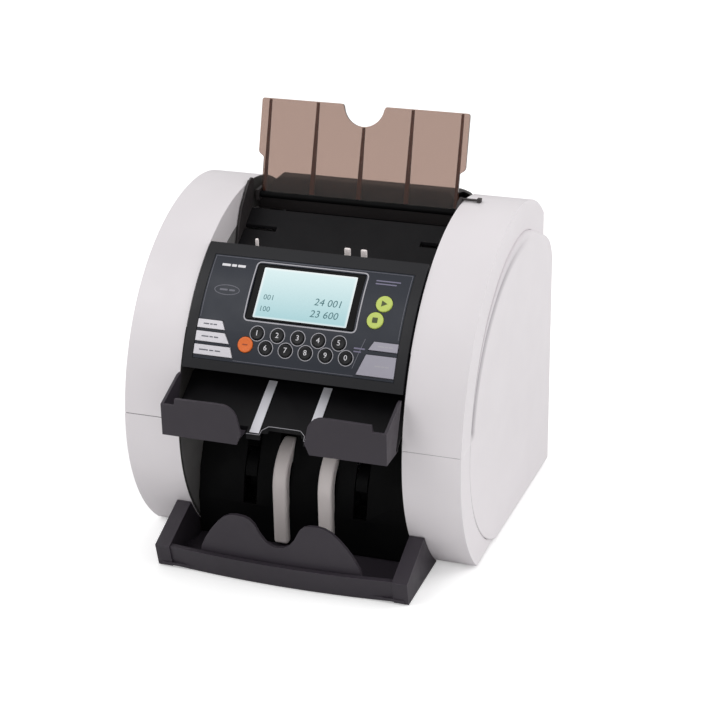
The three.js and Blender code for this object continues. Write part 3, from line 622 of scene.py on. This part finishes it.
def make_round_keys():
    rims = []
    for name, (x, down, radius, slot) in ROUND_KEYS.items():
        key_cap(name, x, down, radius, slot)
        if name.isdigit():
            key_mark(name, numeral(name, x, down, DIGIT_HEIGHT), down, "ink_white")
            outer, inner = radius + RIM_OUT, radius + RIM_IN
            rims += band(oval(x, down, outer, outer), oval(x, down, inner, inner))
    printed("key_rims", rims, *PRINT, "ink_light")
    x, down = ROUND_KEYS["start"][:2]
    key_mark("start", [[(x - 2.0, down - 2.6), (x + 2.8, down), (x - 2.0, down + 2.6)]], down, "ink_dark")
    x, down = ROUND_KEYS["stop"][:2]
    key_mark("stop", [bar(x - 2.2, x + 2.2, down - 2.2, down + 2.2, 0.3)], down, "ink_dark")
    x, down = ROUND_KEYS["clear"][:2]
    key_mark("clear", stroke([(x - 2.2, down), (x + 2.2, down)], 0.9), down, "ink_rust")


make_round_keys()

# Flat keys: generic bars stand for their lettering. Left end, distance down, length, slot.
FLAT_MARKS = {
    "mode": (-82.0, 75.6, 12.0, "ink_dim"), "currency": (-82.0, 86.1, 15.0, "ink_dim"),
    "report": (-82.5, 97.3, 19.0, "ink_dim"), "batch": (70.5, 77.4, 13.0, "ink_light"),
    "add": (70.5, 93.4, 12.0, "ink_light"),
}
DASHES = (0.42, 0.2, 0.26)      # each as a part of the mark's length
DASH_GAP = 0.06
DASH_HALF = 0.55


def make_flat_marks():
    for name, (left, down, length, slot) in FLAT_MARKS.items():
        dashes = []
        x = left
        for part in DASHES:
            dashes.append(bar(x, x + part * length, down - DASH_HALF, down + DASH_HALF, 0.2))
            x += (part + DASH_GAP) * length
        key_mark(name, dashes, down, slot)


make_flat_marks()

# Prints on the control face, as places in (x, down). A box is left, right, top and foot.
LCD = (-41.0, 40.8, 20.2, 65.2)         # the lit part
LCD_FRAME = (-48.9, 50.0, 15.0, 69.2)
LCD_MIDDLE = 42.25
LABEL_BARS = ((-79.0, -71.5), (-70.3, -66.0), (-64.8, -58.0))
BADGE = (-68.5, 44.6)
BADGE_BARS = ((-75.0, -68.0), (-66.6, -61.5))
NOTE_LINES = ((57.0, 78.0, 20.6, 21.7), (57.0, 75.0, 23.4, 24.5),
              (50.6, 60.0, 80.2, 81.4), (50.6, 57.0, 83.0, 84.0))
# Thin lines along the face's edges, printed on as painted highlights.
HIGHLIGHT_SIDE, HIGHLIGHT_TOP, HIGHLIGHT_FOOT = 86.4, 13.6, 103.4


def make_face_prints():
    """Everything printed on the control face, and the painted highlights along its edges."""
    left, right, top, foot = LCD_FRAME
    outer = bar(left, right, top, foot, 5.0, 8)
    inner = bar(left + 1, right - 1, top + 1, foot - 1, 4.2, 8)
    printed("lcd_outline", band(outer, inner), *PRINT, "ink_light")
    label = [bar(x0, x1, 20.6, 22.9, 0.4) for x0, x1 in LABEL_BARS]
    printed("label_bar", label, *PRINT, "ink_white")
    badge = band(oval(*BADGE, 11.3, 4.6, 40), oval(*BADGE, 10.7, 4.0, 40))
    badge += [bar(x0, x1, 43.8, 45.4, 0.3) for x0, x1 in BADGE_BARS]
    printed("badge", badge, *PRINT, "ink_dim")
    printed("label_lines", [bar(*line, 0.2) for line in NOTE_LINES], *PRINT, "ink_lavender")
    printed("slanted_line", stroke([(59.0, 72.4), (51.4, 97.5)], 0.5), *PRINT, "ink_dim")
    # Painted highlights along the face's top and side edges, and a line near its foot.
    edge = stroke([(-HIGHLIGHT_SIDE, 69.5), (-HIGHLIGHT_SIDE, HIGHLIGHT_TOP), (HIGHLIGHT_SIDE, HIGHLIGHT_TOP),
                   (HIGHLIGHT_SIDE, 70.5)], 0.4)
    edge += stroke([(-52.0, HIGHLIGHT_FOOT), (53.0, HIGHLIGHT_FOOT)], 0.4)
    printed("face_edge_highlight", edge, *PRINT, "ink_dim")


make_face_prints()


def make_display():
    """The lit part of the display, and the figures on it, on the black glass of the window."""
    place = on_flat(LCD_MIDDLE)
    printed("lcd_lit", [bar(*LCD, 1.0)], -2.1, -1.9, "lcd_lit", place=place, cuts=WIDE_CUT)
    figures = numeral("24 001", 21.0, 46.0, 6.2, 0.12) + numeral("23 600", 19.6, 56.6, 6.2, 0.12)
    figures += numeral("001", -31.0, 46.6, 4.6) + numeral("100", -32.4, 57.0, 4.6)
    printed("lcd_figures", figures, -1.95, -1.84, "lcd_ink", place=place, cuts=WIDE_CUT)


make_display()

# ---------------------------------------------------------------- note plate
PLATE_Y, PLATE_Z = 66.0, 268.0          # the fold axis
PLATE_TOP_Y, PLATE_TOP_Z = 90.0, 349.0
PLATE_HEIGHT = math.hypot(PLATE_TOP_Y - PLATE_Y, PLATE_TOP_Z - PLATE_Z)
PLATE_LEAN = math.atan2(PLATE_TOP_Y - PLATE_Y, PLATE_TOP_Z - PLATE_Z)
PLATE_HALF = 95.0
PLATE_WAIST = 90.0                      # half width below the shoulders
SHOULDER_FOOT, SHOULDER_TOP = 33.0, 36.5
PLATE_CORNER = 2.5
NOTCH = 18.5
NOTCH_LIP = NOTCH + 0.8
RIBS = (-88.0, -43.5, 0.0, 43.5, 88.0)
TILT = Matrix.Translation(Vector((0, PLATE_Y, PLATE_Z)) * MM) @ Matrix.Rotation(-PLATE_LEAN, 4, "X")


def tilted_prism(name, plan, y0, y1, slot, width=0.0):
    """A plan in (x, height along the plate), solid between two depths, leant back on the pivot."""
    bm = bmesh.new()
    face = bm.faces.new([bm.verts.new(Vector((x, y0, up)) * MM) for x, up in plan])
    grown = bmesh.ops.extrude_face_region(bm, geom=[face], use_keep_orig=True)
    for vertex in grown["geom"]:
        if isinstance(vertex, bmesh.types.BMVert):
            vertex.co.y = y1 * MM
    bmesh.ops.transform(bm, matrix=TILT, verts=bm.verts[:])
    piece = add_piece(name, mesh_from(bm, name), slot, "note_plate_body")
    if width:
        bevel = piece.modifiers.new("edges", "BEVEL")
        bevel.width = width * MM
        bevel.segments = 2
        bevel.limit_method = "ANGLE"
        bevel.angle_limit = math.radians(50)
        bevel.use_clamp_overlap = True
    soften(piece)
    return piece


def make_note_plate():
    top = PLATE_HEIGHT
    arc = [(NOTCH * math.cos(math.radians(-9 * k)), top + NOTCH * math.sin(math.radians(-9 * k)), 0)
           for k in range(1, 20)]
    right = [(PLATE_WAIST, 0, 0), (PLATE_WAIST, SHOULDER_FOOT, 1.0), (PLATE_HALF, SHOULDER_TOP, PLATE_CORNER),
             (PLATE_HALF, top, PLATE_CORNER), (NOTCH_LIP, top, 2.0)]
    left = [(-x, up, radius) for x, up, radius in reversed(right)]
    corners = left[-1:] + right + arc + left[:-1]
    sheet = tilted_prism("plate_sheet", fillet(corners, 5), -1.5, 1.0, "smoked_plate")
    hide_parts("note_plate")
    for order, x in enumerate(RIBS):
        reach = (top - NOTCH if x == 0 else top) - 0.6
        half_foot, half_top = (1.5, 1.0) if abs(x) == RIBS[-1] else (2.1, 1.1)
        plan = [(x - half_foot, 3.0), (x + half_foot, 3.0), (x + half_top, reach), (x - half_top, reach)]
        tilted_prism(f"plate_rib_{order + 1}", plan, 0.9, 3.9, "smoke_rib", 0.45)


def make_hem():
    """The rolled foot of the plate and its two pivot pins, turned round the fold axis."""
    right = [(90.4, 3.0), (90.8, 2.6), (90.8, 1.8), (93.9, 1.8), (94.2, 1.5)]
    profile = [(-x, radius) for x, radius in reversed(right)] + right
    bm = bmesh.new()
    join_rings(bm, [[bm.verts.new(Vector((x, y, z)) * MM) for y, z in oval(0, 0, radius, radius, 28)]
                    for x, radius in profile])
    bmesh.ops.transform(bm, matrix=TILT, verts=bm.verts[:])
    # The hem is pitch black: painted shade, for the dark it lies in under the plate's foot.
    hem = add_piece("plate_hem", mesh_from(bm, "plate_hem"), "pitch", "note_plate_body")
    soften(hem)


make_note_plate()
make_hem()

# ---------------------------------------------------------------- reject pocket
STRIPE_X = 24.25
STRIPE_FOOT = Vector((0, -126.1, 131.12))
STRIPE_TOP = Vector((0, -80.4, 157.87))
STRIPE_ROWS = 8
# Painted highlight: the path of a thin pale tube along the top edge of the finger notch.
NOTCH_HIGHLIGHT = ((0, -118.9, 134.85), (11, -118.9, 134.85), (14, -119.1, 134.75), (16.5, -121.0, 133.65),
        (18.8, -122.9, 132.5), (19.1, -125.0, 131.3), (19.3, -126.9, 130.2), (31.0, -127.0, 130.1))


def stripe_section(t):
    """A stripe's section (across, out of the floor), part t of the way up, with rounded shoulders."""
    half = 4.15 - 0.35 * t
    lift = 0.42 if 0 < t < 1 else 0.2
    right = [(half - 0.5, lift), (half, lift - 0.2), (half, -0.4)]
    return [(-across, out) for across, out in reversed(right)] + right


def make_stripes():
    """Pale wear strips on the two ribs of the reject floor."""
    run = STRIPE_TOP - STRIPE_FOOT
    normal = Vector((0, -run.z, run.y)).normalized()
    for side, name in ((-1, "left"), (1, "right")):
        bm = bmesh.new()
        rows = []
        for k in range(STRIPE_ROWS + 1):
            middle = STRIPE_FOOT + run * (k / STRIPE_ROWS)
            rows.append([bm.verts.new((middle + Vector((side * STRIPE_X + across, 0, 0)) + normal * out) * MM)
                         for across, out in stripe_section(k / STRIPE_ROWS)])
        join_rings(bm, rows)
        title = f"reject_stripe_{name}"
        soften(add_piece(title, mesh_from(bm, title), "stripe_grey", "chassis"))


make_stripes()


def make_notch_highlight():
    """A painted highlight: a thin pale tube along the top edge of the finger notch in the reject floor's
    front edge.
    """
    points = [(-x, y, z) for x, y, z in reversed(NOTCH_HIGHLIGHT[1:])] + list(NOTCH_HIGHLIGHT)
    curve = bpy.data.curves.new("notch_highlight", "CURVE")
    curve.dimensions = "3D"
    curve.bevel_depth = 0.24 * MM
    curve.bevel_resolution = 3
    curve.use_fill_caps = True
    spline = curve.splines.new("POLY")
    spline.points.add(len(points) - 1)
    for target, place in zip(spline.points, points):
        target.co = (*(Vector(place) * MM), 1)
    holder = bpy.data.objects.new("notch_highlight", curve)
    bpy.context.scene.collection.objects.link(holder)
    graph = bpy.context.evaluated_depsgraph_get()
    mesh = bpy.data.meshes.new_from_object(holder.evaluated_get(graph))
    bpy.data.objects.remove(holder)
    for face in mesh.polygons:
        face.use_smooth = True
    add_piece("notch_highlight", mesh, "ink_light", "chassis")


make_notch_highlight()

# ---------------------------------------------------------------- side panels
PANEL_R = UPPER_R - SIDE_INSET          # the side panel's upper arc
PANEL_LOW_Y, PANEL_LOW_R = POD_Y - UPPER_R + LOWER_R, LOWER_R - SIDE_INSET
PANEL_REAR_Z, PANEL_REAR_R = POD_Z + UPPER_R - REAR_R, REAR_R - SIDE_INSET
PANEL_CORNER_Y = 100.0                  # the panel leaves the rear arc here for its rear corner
PANEL_CORNER_Z, PANEL_CORNER_R = 202.0, 34.0
PANEL_FOOT = 2.5
PANEL_FRONT = POD_Y - PANEL_R
PANEL_PROUD = 8.0                       # how far it stands over the band at the rear
PANEL_SLOPE = PANEL_PROUD / (REAR - PANEL_FRONT)
PLUG_Y, PLUG_Z = 92.0, 18.0             # its edge drops into the covers before here, and above here
PLUG_RUN = 6.0                          # the drop comes on over this distance
PLUG_DEEP = 2.4
COVER_GAP = 0.3                         # air between the panel and the covers
PILLOW = 6.0                            # the widest rounding of the panel's edge
PILLOW_SHARE = 0.75                     # of how far the panel stands proud there
CREASE_FOOT, CREASE_RISE = SEAM_Z + 3, 7.0      # the crease starts here and deepens over this height
CREASE_END, CREASE_FALL = 76.0, 60.0            # it ends at this Y and fades over this distance
RIM_STEP = 0.68                         # distance between the rings of the panel's face


def turn(middle_y, middle_z, radius, start, end, steps):
    """Points along an arc, with its angles in degrees."""
    angles = [math.radians(start + (end - start) * k / steps) for k in range(steps + 1)]
    return [(middle_y + radius * math.cos(a), middle_z + radius * math.sin(a)) for a in angles]


def panel_outline():
    """The side panel's outline in (y, z), from the foot of its front arc round to its rear foot."""
    lowest = math.degrees(math.asin((POD_Z - PANEL_FOOT) / PANEL_LOW_R))
    rear_end = math.degrees(math.acos((PANEL_CORNER_Y - POD_Y) / PANEL_REAR_R))
    points = turn(PANEL_LOW_Y, POD_Z, PANEL_LOW_R, 180 + lowest, 180, 30)
    points += turn(POD_Y, POD_Z, PANEL_R, 180, 90, 60)[1:]
    points += turn(POD_Y, PANEL_REAR_Z, PANEL_REAR_R, 90, rear_end + 4, 6)[1:]
    points += turn(REAR - PANEL_CORNER_R, PANEL_CORNER_Z, PANEL_CORNER_R, 60, 0, 12)
    return points + [(REAR, 120.0), (REAR, 60.0), (REAR, PANEL_FOOT), (90.0, PANEL_FOOT), (30.0, PANEL_FOOT)]


def moved_in(points, distances):
    """A closed outline with every corner moved in along its mitre by its own distance."""
    count = len(points)
    moved = []
    for k in range(count):
        here = Vector(points[k])
        before = (here - Vector(points[k - 1])).normalized()
        after = (Vector(points[(k + 1) % count]) - here).normalized()
        inward = Vector((before.y, -before.x)) + Vector((after.y, -after.x))
        moved.append(here + inward * (2 * distances[k] / inward.length_squared))
    return moved


def panel_face(y):
    """Half width of the machine over the panel's sloping face."""
    return BAND + (y - PANEL_FRONT) * PANEL_SLOPE


def limited(value):
    """A value kept between 0 and 1."""
    return min(1.0, max(0.0, value))


def crease(y, z):
    """Depth of the valley at a place of the panel's face: it dies out towards the top."""
    across = max(0.0, 1 - abs(math.hypot(y - POD_Y, z - POD_Z) - CREASE_R) / CREASE_HALF)
    rise = limited((z - CREASE_FOOT) / CREASE_RISE)
    fall = limited((CREASE_END - y) / CREASE_FALL)
    return CREASE_DEEP * across * across * (3 - 2 * across) * rise * fall


def plug(y, z):
    """How far the panel's edge drops into the covers' opening at a place, from 0 to 1."""
    return limited((PLUG_Y - y) / PLUG_RUN) * limited((z - PLUG_Z) / PLUG_RUN)


def panel_rings():
    """The right panel as rings of (x, y, z): its back edge, its rounded rim, then its face inwards."""
    outline = panel_outline()
    pillow = [min(PILLOW, PILLOW_SHARE * (panel_face(y) - BAND)) for y, z in outline]
    rings = [[(BAND + COVER_GAP - PLUG_DEEP * plug(y, z), y, z) for y, z in outline]]
    for k in range(7):
        angle = math.radians(15 * k)
        ring = moved_in(outline, [soft * (1 - math.cos(angle)) for soft in pillow])
        rings.append([(panel_face(p.x) - soft * (1 - math.sin(angle)), p.x, p.y)
                      for p, soft in zip(ring, pillow)])
    for k in range(1, 15):
        ring = moved_in(outline, [soft + RIM_STEP * k for soft in pillow])
        rings.append([(panel_face(p.x) - crease(p.x, p.y), p.x, p.y) for p in ring])
    return rings


def make_side_shells():
    """The raised side panels, pillowed at the rear, with a soft crease down their front edges."""
    rings = panel_rings()
    for side, name in ((-1, "left"), (1, "right")):
        bm = bmesh.new()
        rows = [[bm.verts.new(Vector((side * x, y, z)) * MM) for x, y, z in ring] for ring in rings]
        back = join_rings(bm, rows)[0]
        bmesh.ops.triangulate(bm, faces=[back])
        mesh = mesh_from(bm, f"side_shell_{name}")
        shell = add_piece(f"side_shell_{name}", mesh, "side_white", "chassis")
        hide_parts(f"side_panel_{name}")
        round_edges(shell, 0, merged=False)


make_side_shells()

# ---------------------------------------------------------------- rear fittings
REAR_FACE = 147.5
REAR_WALL = 2.5
SCREW_X = 88
SCREW_HEIGHTS = (18, 100, 178)
SCREW_HEAD = 2.9                        # radii
WASHER = 3.5
CROSS_HALF, CROSS_REACH = 0.42, 1.75    # the arms of the recess
NAMEPLATE = (28.0, 36.0)
NAMEPLATE_HALF = (24.0, 12.0)
NAMEPLATE_RIM = 0.9
RIVET, RIVET_INSET = 1.1, 3.2
FILTER_HALF = 66                        # half width of the filter behind the vents
FILTER_LOW, FILTER_HIGH = 114, 184
THREADS_UP, THREADS_ACROSS = 33, 18
THREAD_PITCH = 4
THREAD_HALF = 0.35
SEAL_X = (94.6, 97.3)                   # the inner and the outer face of a rib
SEAL_RUN = ((144.6, 150.0), (144.6, 188.2), (138.0, 227.0), (132.5, 227.0), (139.0, 188.0), (139.0, 150.0))
# Painted shade: a dim strip sunk in the seam between the covers stands in for the shade in the gap.
SEAM_SHADE_X = (99.2, 146.8)
SEAM_SHADE_HALF = 0.75                      # half its height
SEAM_SHADE_SUNK, SEAM_SHADE_BACK = 0.22, 2.3    # its front and its back, behind the covers' front


def on_rear(x0, z0):
    """Plans on the rear cover's flat face, seen from behind, round a point."""
    return lambda x, down, out: Vector((x0 - x, REAR_FACE + out, z0 - down)) * MM


def on_cover(name, plans, low, high, slot, place):
    """A relief on the rear cover."""
    printed(name, plans, low, high, slot, "chassis", place, WIDE_CUT)


def make_rear_screws():
    """Pan heads with a cross recess, sunk a little into a dark ring."""
    first = math.degrees(math.asin(CROSS_HALF / CROSS_REACH))
    head = band(oval(0, 0, SCREW_HEAD, SCREW_HEAD), oval(0, 0, CROSS_REACH, CROSS_REACH))
    for quarter in range(4):
        plan = [(CROSS_HALF, CROSS_HALF)]
        for k in range(5):
            angle = math.radians(first + (90 - 2 * first) * k / 4)
            plan.append((CROSS_REACH * math.cos(angle), CROSS_REACH * math.sin(angle)))
        spin = math.radians(90 * quarter)
        head.append([(x * math.cos(spin) - y * math.sin(spin), x * math.sin(spin) + y * math.cos(spin))
                     for x, y in plan])
    places = [(x, z) for z in SCREW_HEIGHTS for x in (-SCREW_X, SCREW_X)]
    for order, middle in enumerate(places):
        place = on_rear(*middle)
        on_cover(f"rear_screw_{order + 1}", head, 0.3, 0.95, "shaft_steel", place)
        on_cover(f"rear_washer_{order + 1}", [oval(0, 0, WASHER, WASHER)], -0.4, 0.35, "pitch", place)


def make_nameplate():
    """A blank metal plate with a raised border and four rivets."""
    place = on_rear(*NAMEPLATE)
    wide, high = NAMEPLATE_HALF
    outer = bar(-wide, wide, -high, high, 2.0)
    inner_wide, inner_high = wide - NAMEPLATE_RIM, high - NAMEPLATE_RIM
    inner = bar(-inner_wide, inner_wide, -inner_high, inner_high, 1.5)
    on_cover("rear_plate", [outer], -0.2, 0.45, "shaft_steel", place)
    rivets = [oval(sx * (wide - RIVET_INSET), sy * (high - RIVET_INSET), RIVET, RIVET, 20)
              for sx in (-1, 1) for sy in (-1, 1)]
    on_cover("rear_plate_rim", band(outer, inner) + rivets, 0.4, 0.75, "seam_grey", place)


def box_between(bm, low, high):
    """A box between its lowest and its highest corner."""
    corners = [Vector((x, y, z)) * MM for z in (low[2], high[2]) for y in (low[1], high[1])
               for x in (low[0], high[0])]
    verts = [bm.verts.new(corner) for corner in corners]
    for face in ((0, 2, 3, 1), (4, 5, 7, 6), (0, 1, 5, 4), (1, 3, 7, 5), (3, 2, 6, 7), (2, 0, 4, 6)):
        bm.faces.new([verts[k] for k in face])


def make_vent_filter():
    """A dust mesh on a thin backing, behind the vents of the rear cover."""
    inner = REAR_FACE - REAR_WALL - 0.2
    backing, threads = inner - 1.0, inner - 0.5
    low, high, half = FILTER_LOW + 0.5, FILTER_HIGH - 0.5, FILTER_HALF - 0.5
    bm = bmesh.new()
    box_between(bm, (-FILTER_HALF, inner - 1.6, FILTER_LOW), (FILTER_HALF, backing, FILTER_HIGH))
    for k in range(THREADS_UP):
        x = THREAD_PITCH * (k - THREADS_UP // 2)
        box_between(bm, (x - THREAD_HALF, backing, low), (x + THREAD_HALF, threads, high))
    for k in range(THREADS_ACROSS):
        z = FILTER_LOW + 1 + THREAD_PITCH * k
        box_between(bm, (-half, threads, z - THREAD_HALF), (half, inner, z + THREAD_HALF))
    add_piece("vent_filter", mesh_from(bm, "vent_filter"), "pitch", "chassis")


def make_rear_seals():
    """Ribs along the rear cover's side edges, which close the joint with the pods."""
    for side, name in ((-1, "left"), (1, "right")):
        bm = bmesh.new()
        join_rings(bm, [[bm.verts.new(Vector((side * x, y, z)) * MM) for y, z in SEAL_RUN] for x in SEAL_X])
        mesh = mesh_from(bm, f"rear_seal_{name}")
        round_edges(add_piece(f"rear_seal_{name}", mesh, "pitch", "chassis"), 0.4 * MM)


def make_seam_shade():
    """A dim strip sunk in the seam between the covers, across the pods' fronts, as painted shade in the gap.
    """
    front = POD_Y - math.sqrt(UPPER_R ** 2 - (SEAM_Z - POD_Z) ** 2)
    for side, name in ((-1, "left"), (1, "right")):
        bm = bmesh.new()
        near, far = sorted(side * x for x in SEAM_SHADE_X)
        box_between(bm, (near, front + SEAM_SHADE_SUNK, SEAM_Z - SEAM_SHADE_HALF),
                    (far, front + SEAM_SHADE_BACK, SEAM_Z + SEAM_SHADE_HALF))
        mesh = mesh_from(bm, f"seam_shade_{name}")
        round_edges(add_piece(f"seam_shade_{name}", mesh, "seam_grey", "chassis"), 0.1 * MM)


make_seam_shade()
make_rear_screws()
make_nameplate()
make_vent_filter()
make_rear_seals()

# ---------------------------------------------------------------- stage
ROOM_LIGHT = 0.78
SEEN_WHITE = 1.02       # the room as the camera sees it
FLOOR_LIFT = 0.33
FLOOR_REACH = 12


def camera_ray_mix(tree, seen, other):
    """What is seen of a stage piece, straight or through the clear plate, and what lights the object."""
    path = tree.nodes.new("ShaderNodeLightPath")
    through = tree.nodes.new("ShaderNodeMath")
    through.operation = "MAXIMUM"
    tree.links.new(path.outputs["Is Camera Ray"], through.inputs[0])
    tree.links.new(path.outputs["Is Transmission Ray"], through.inputs[1])
    mix = tree.nodes.new("ShaderNodeMixShader")
    tree.links.new(through.outputs[0], mix.inputs[0])
    tree.links.new(other, mix.inputs[1])
    tree.links.new(seen, mix.inputs[2])
    return mix.outputs[0]


def make_world():
    """A white room that lights the object from above more than from below."""
    world = bpy.data.worlds.new("studio")
    bpy.context.scene.world = world
    world.use_nodes = True
    tree = world.node_tree
    room = tree.nodes["Background"]
    room.inputs["Strength"].default_value = ROOM_LIGHT
    white = tree.nodes.new("ShaderNodeBackground")
    white.inputs["Color"].default_value = (1, 1, 1, 1)
    white.inputs["Strength"].default_value = SEEN_WHITE
    where = tree.nodes.new("ShaderNodeTexCoord")
    axes = tree.nodes.new("ShaderNodeSeparateXYZ")
    tree.links.new(where.outputs["Generated"], axes.inputs[0])
    height = tree.nodes.new("ShaderNodeMapRange")
    height.inputs["From Min"].default_value = -0.2
    height.inputs["From Max"].default_value = 0.9
    height.inputs["To Min"].default_value = 0.55
    height.inputs["To Max"].default_value = 1.0
    tree.links.new(axes.outputs["Z"], height.inputs["Value"])
    tree.links.new(height.outputs["Result"], room.inputs["Color"])
    end = tree.nodes["World Output"]
    tree.links.new(camera_ray_mix(tree, white.outputs[0], room.outputs[0]), end.inputs["Surface"])


def make_floor():
    mesh = bpy.data.meshes.new("floor")
    corners = [(x * FLOOR_REACH, y * FLOOR_REACH, 0) for x, y in ((-1, -1), (1, -1), (1, 1), (-1, 1))]
    mesh.from_pydata(corners, [], [(0, 1, 2, 3)])
    floor = bpy.data.objects.new("floor", mesh)
    bpy.context.scene.collection.objects.link(floor)
    pale = Shader("floor_pale", (0.8, 0.8, 0.8, 1), 0.95)
    tree = pale.tree
    bright = tree.nodes.new("ShaderNodeBsdfDiffuse")
    bright.inputs["Color"].default_value = (1, 1, 1, 1)
    lift = tree.nodes.new("ShaderNodeEmission")
    lift.inputs["Strength"].default_value = FLOOR_LIFT
    seen = tree.nodes.new("ShaderNodeAddShader")
    tree.links.new(bright.outputs[0], seen.inputs[0])
    tree.links.new(lift.outputs[0], seen.inputs[1])
    end = tree.nodes["Material Output"]
    tree.links.new(camera_ray_mix(tree, seen.outputs[0], pale.bsdf.outputs[0]), end.inputs["Surface"])
    mesh.materials.append(pale.material)


def area_light(name, place, target, size, power):
    data = bpy.data.lights.new(name, "AREA")
    data.shape = "DISK"
    data.size = size
    data.energy = power
    light = bpy.data.objects.new(name, data)
    light.location = place
    light.rotation_euler = (Vector(target) - Vector(place)).to_track_quat("-Z", "Y").to_euler()
    bpy.context.scene.collection.objects.link(light)


make_world()
make_floor()
area_light("key", place=(-1.5, -1.4, 2.3), target=(0, 0, 0.15), size=1.6, power=15)
area_light("front", place=(0.1, -2.4, 0.7), target=(0, 0, 0.12), size=1.4, power=2.5)
area_light("side", place=(2.2, 0.5, 1.5), target=(0, 0, 0.15), size=1.6, power=19)
bpy.context.scene.view_settings.view_transform = "Standard"
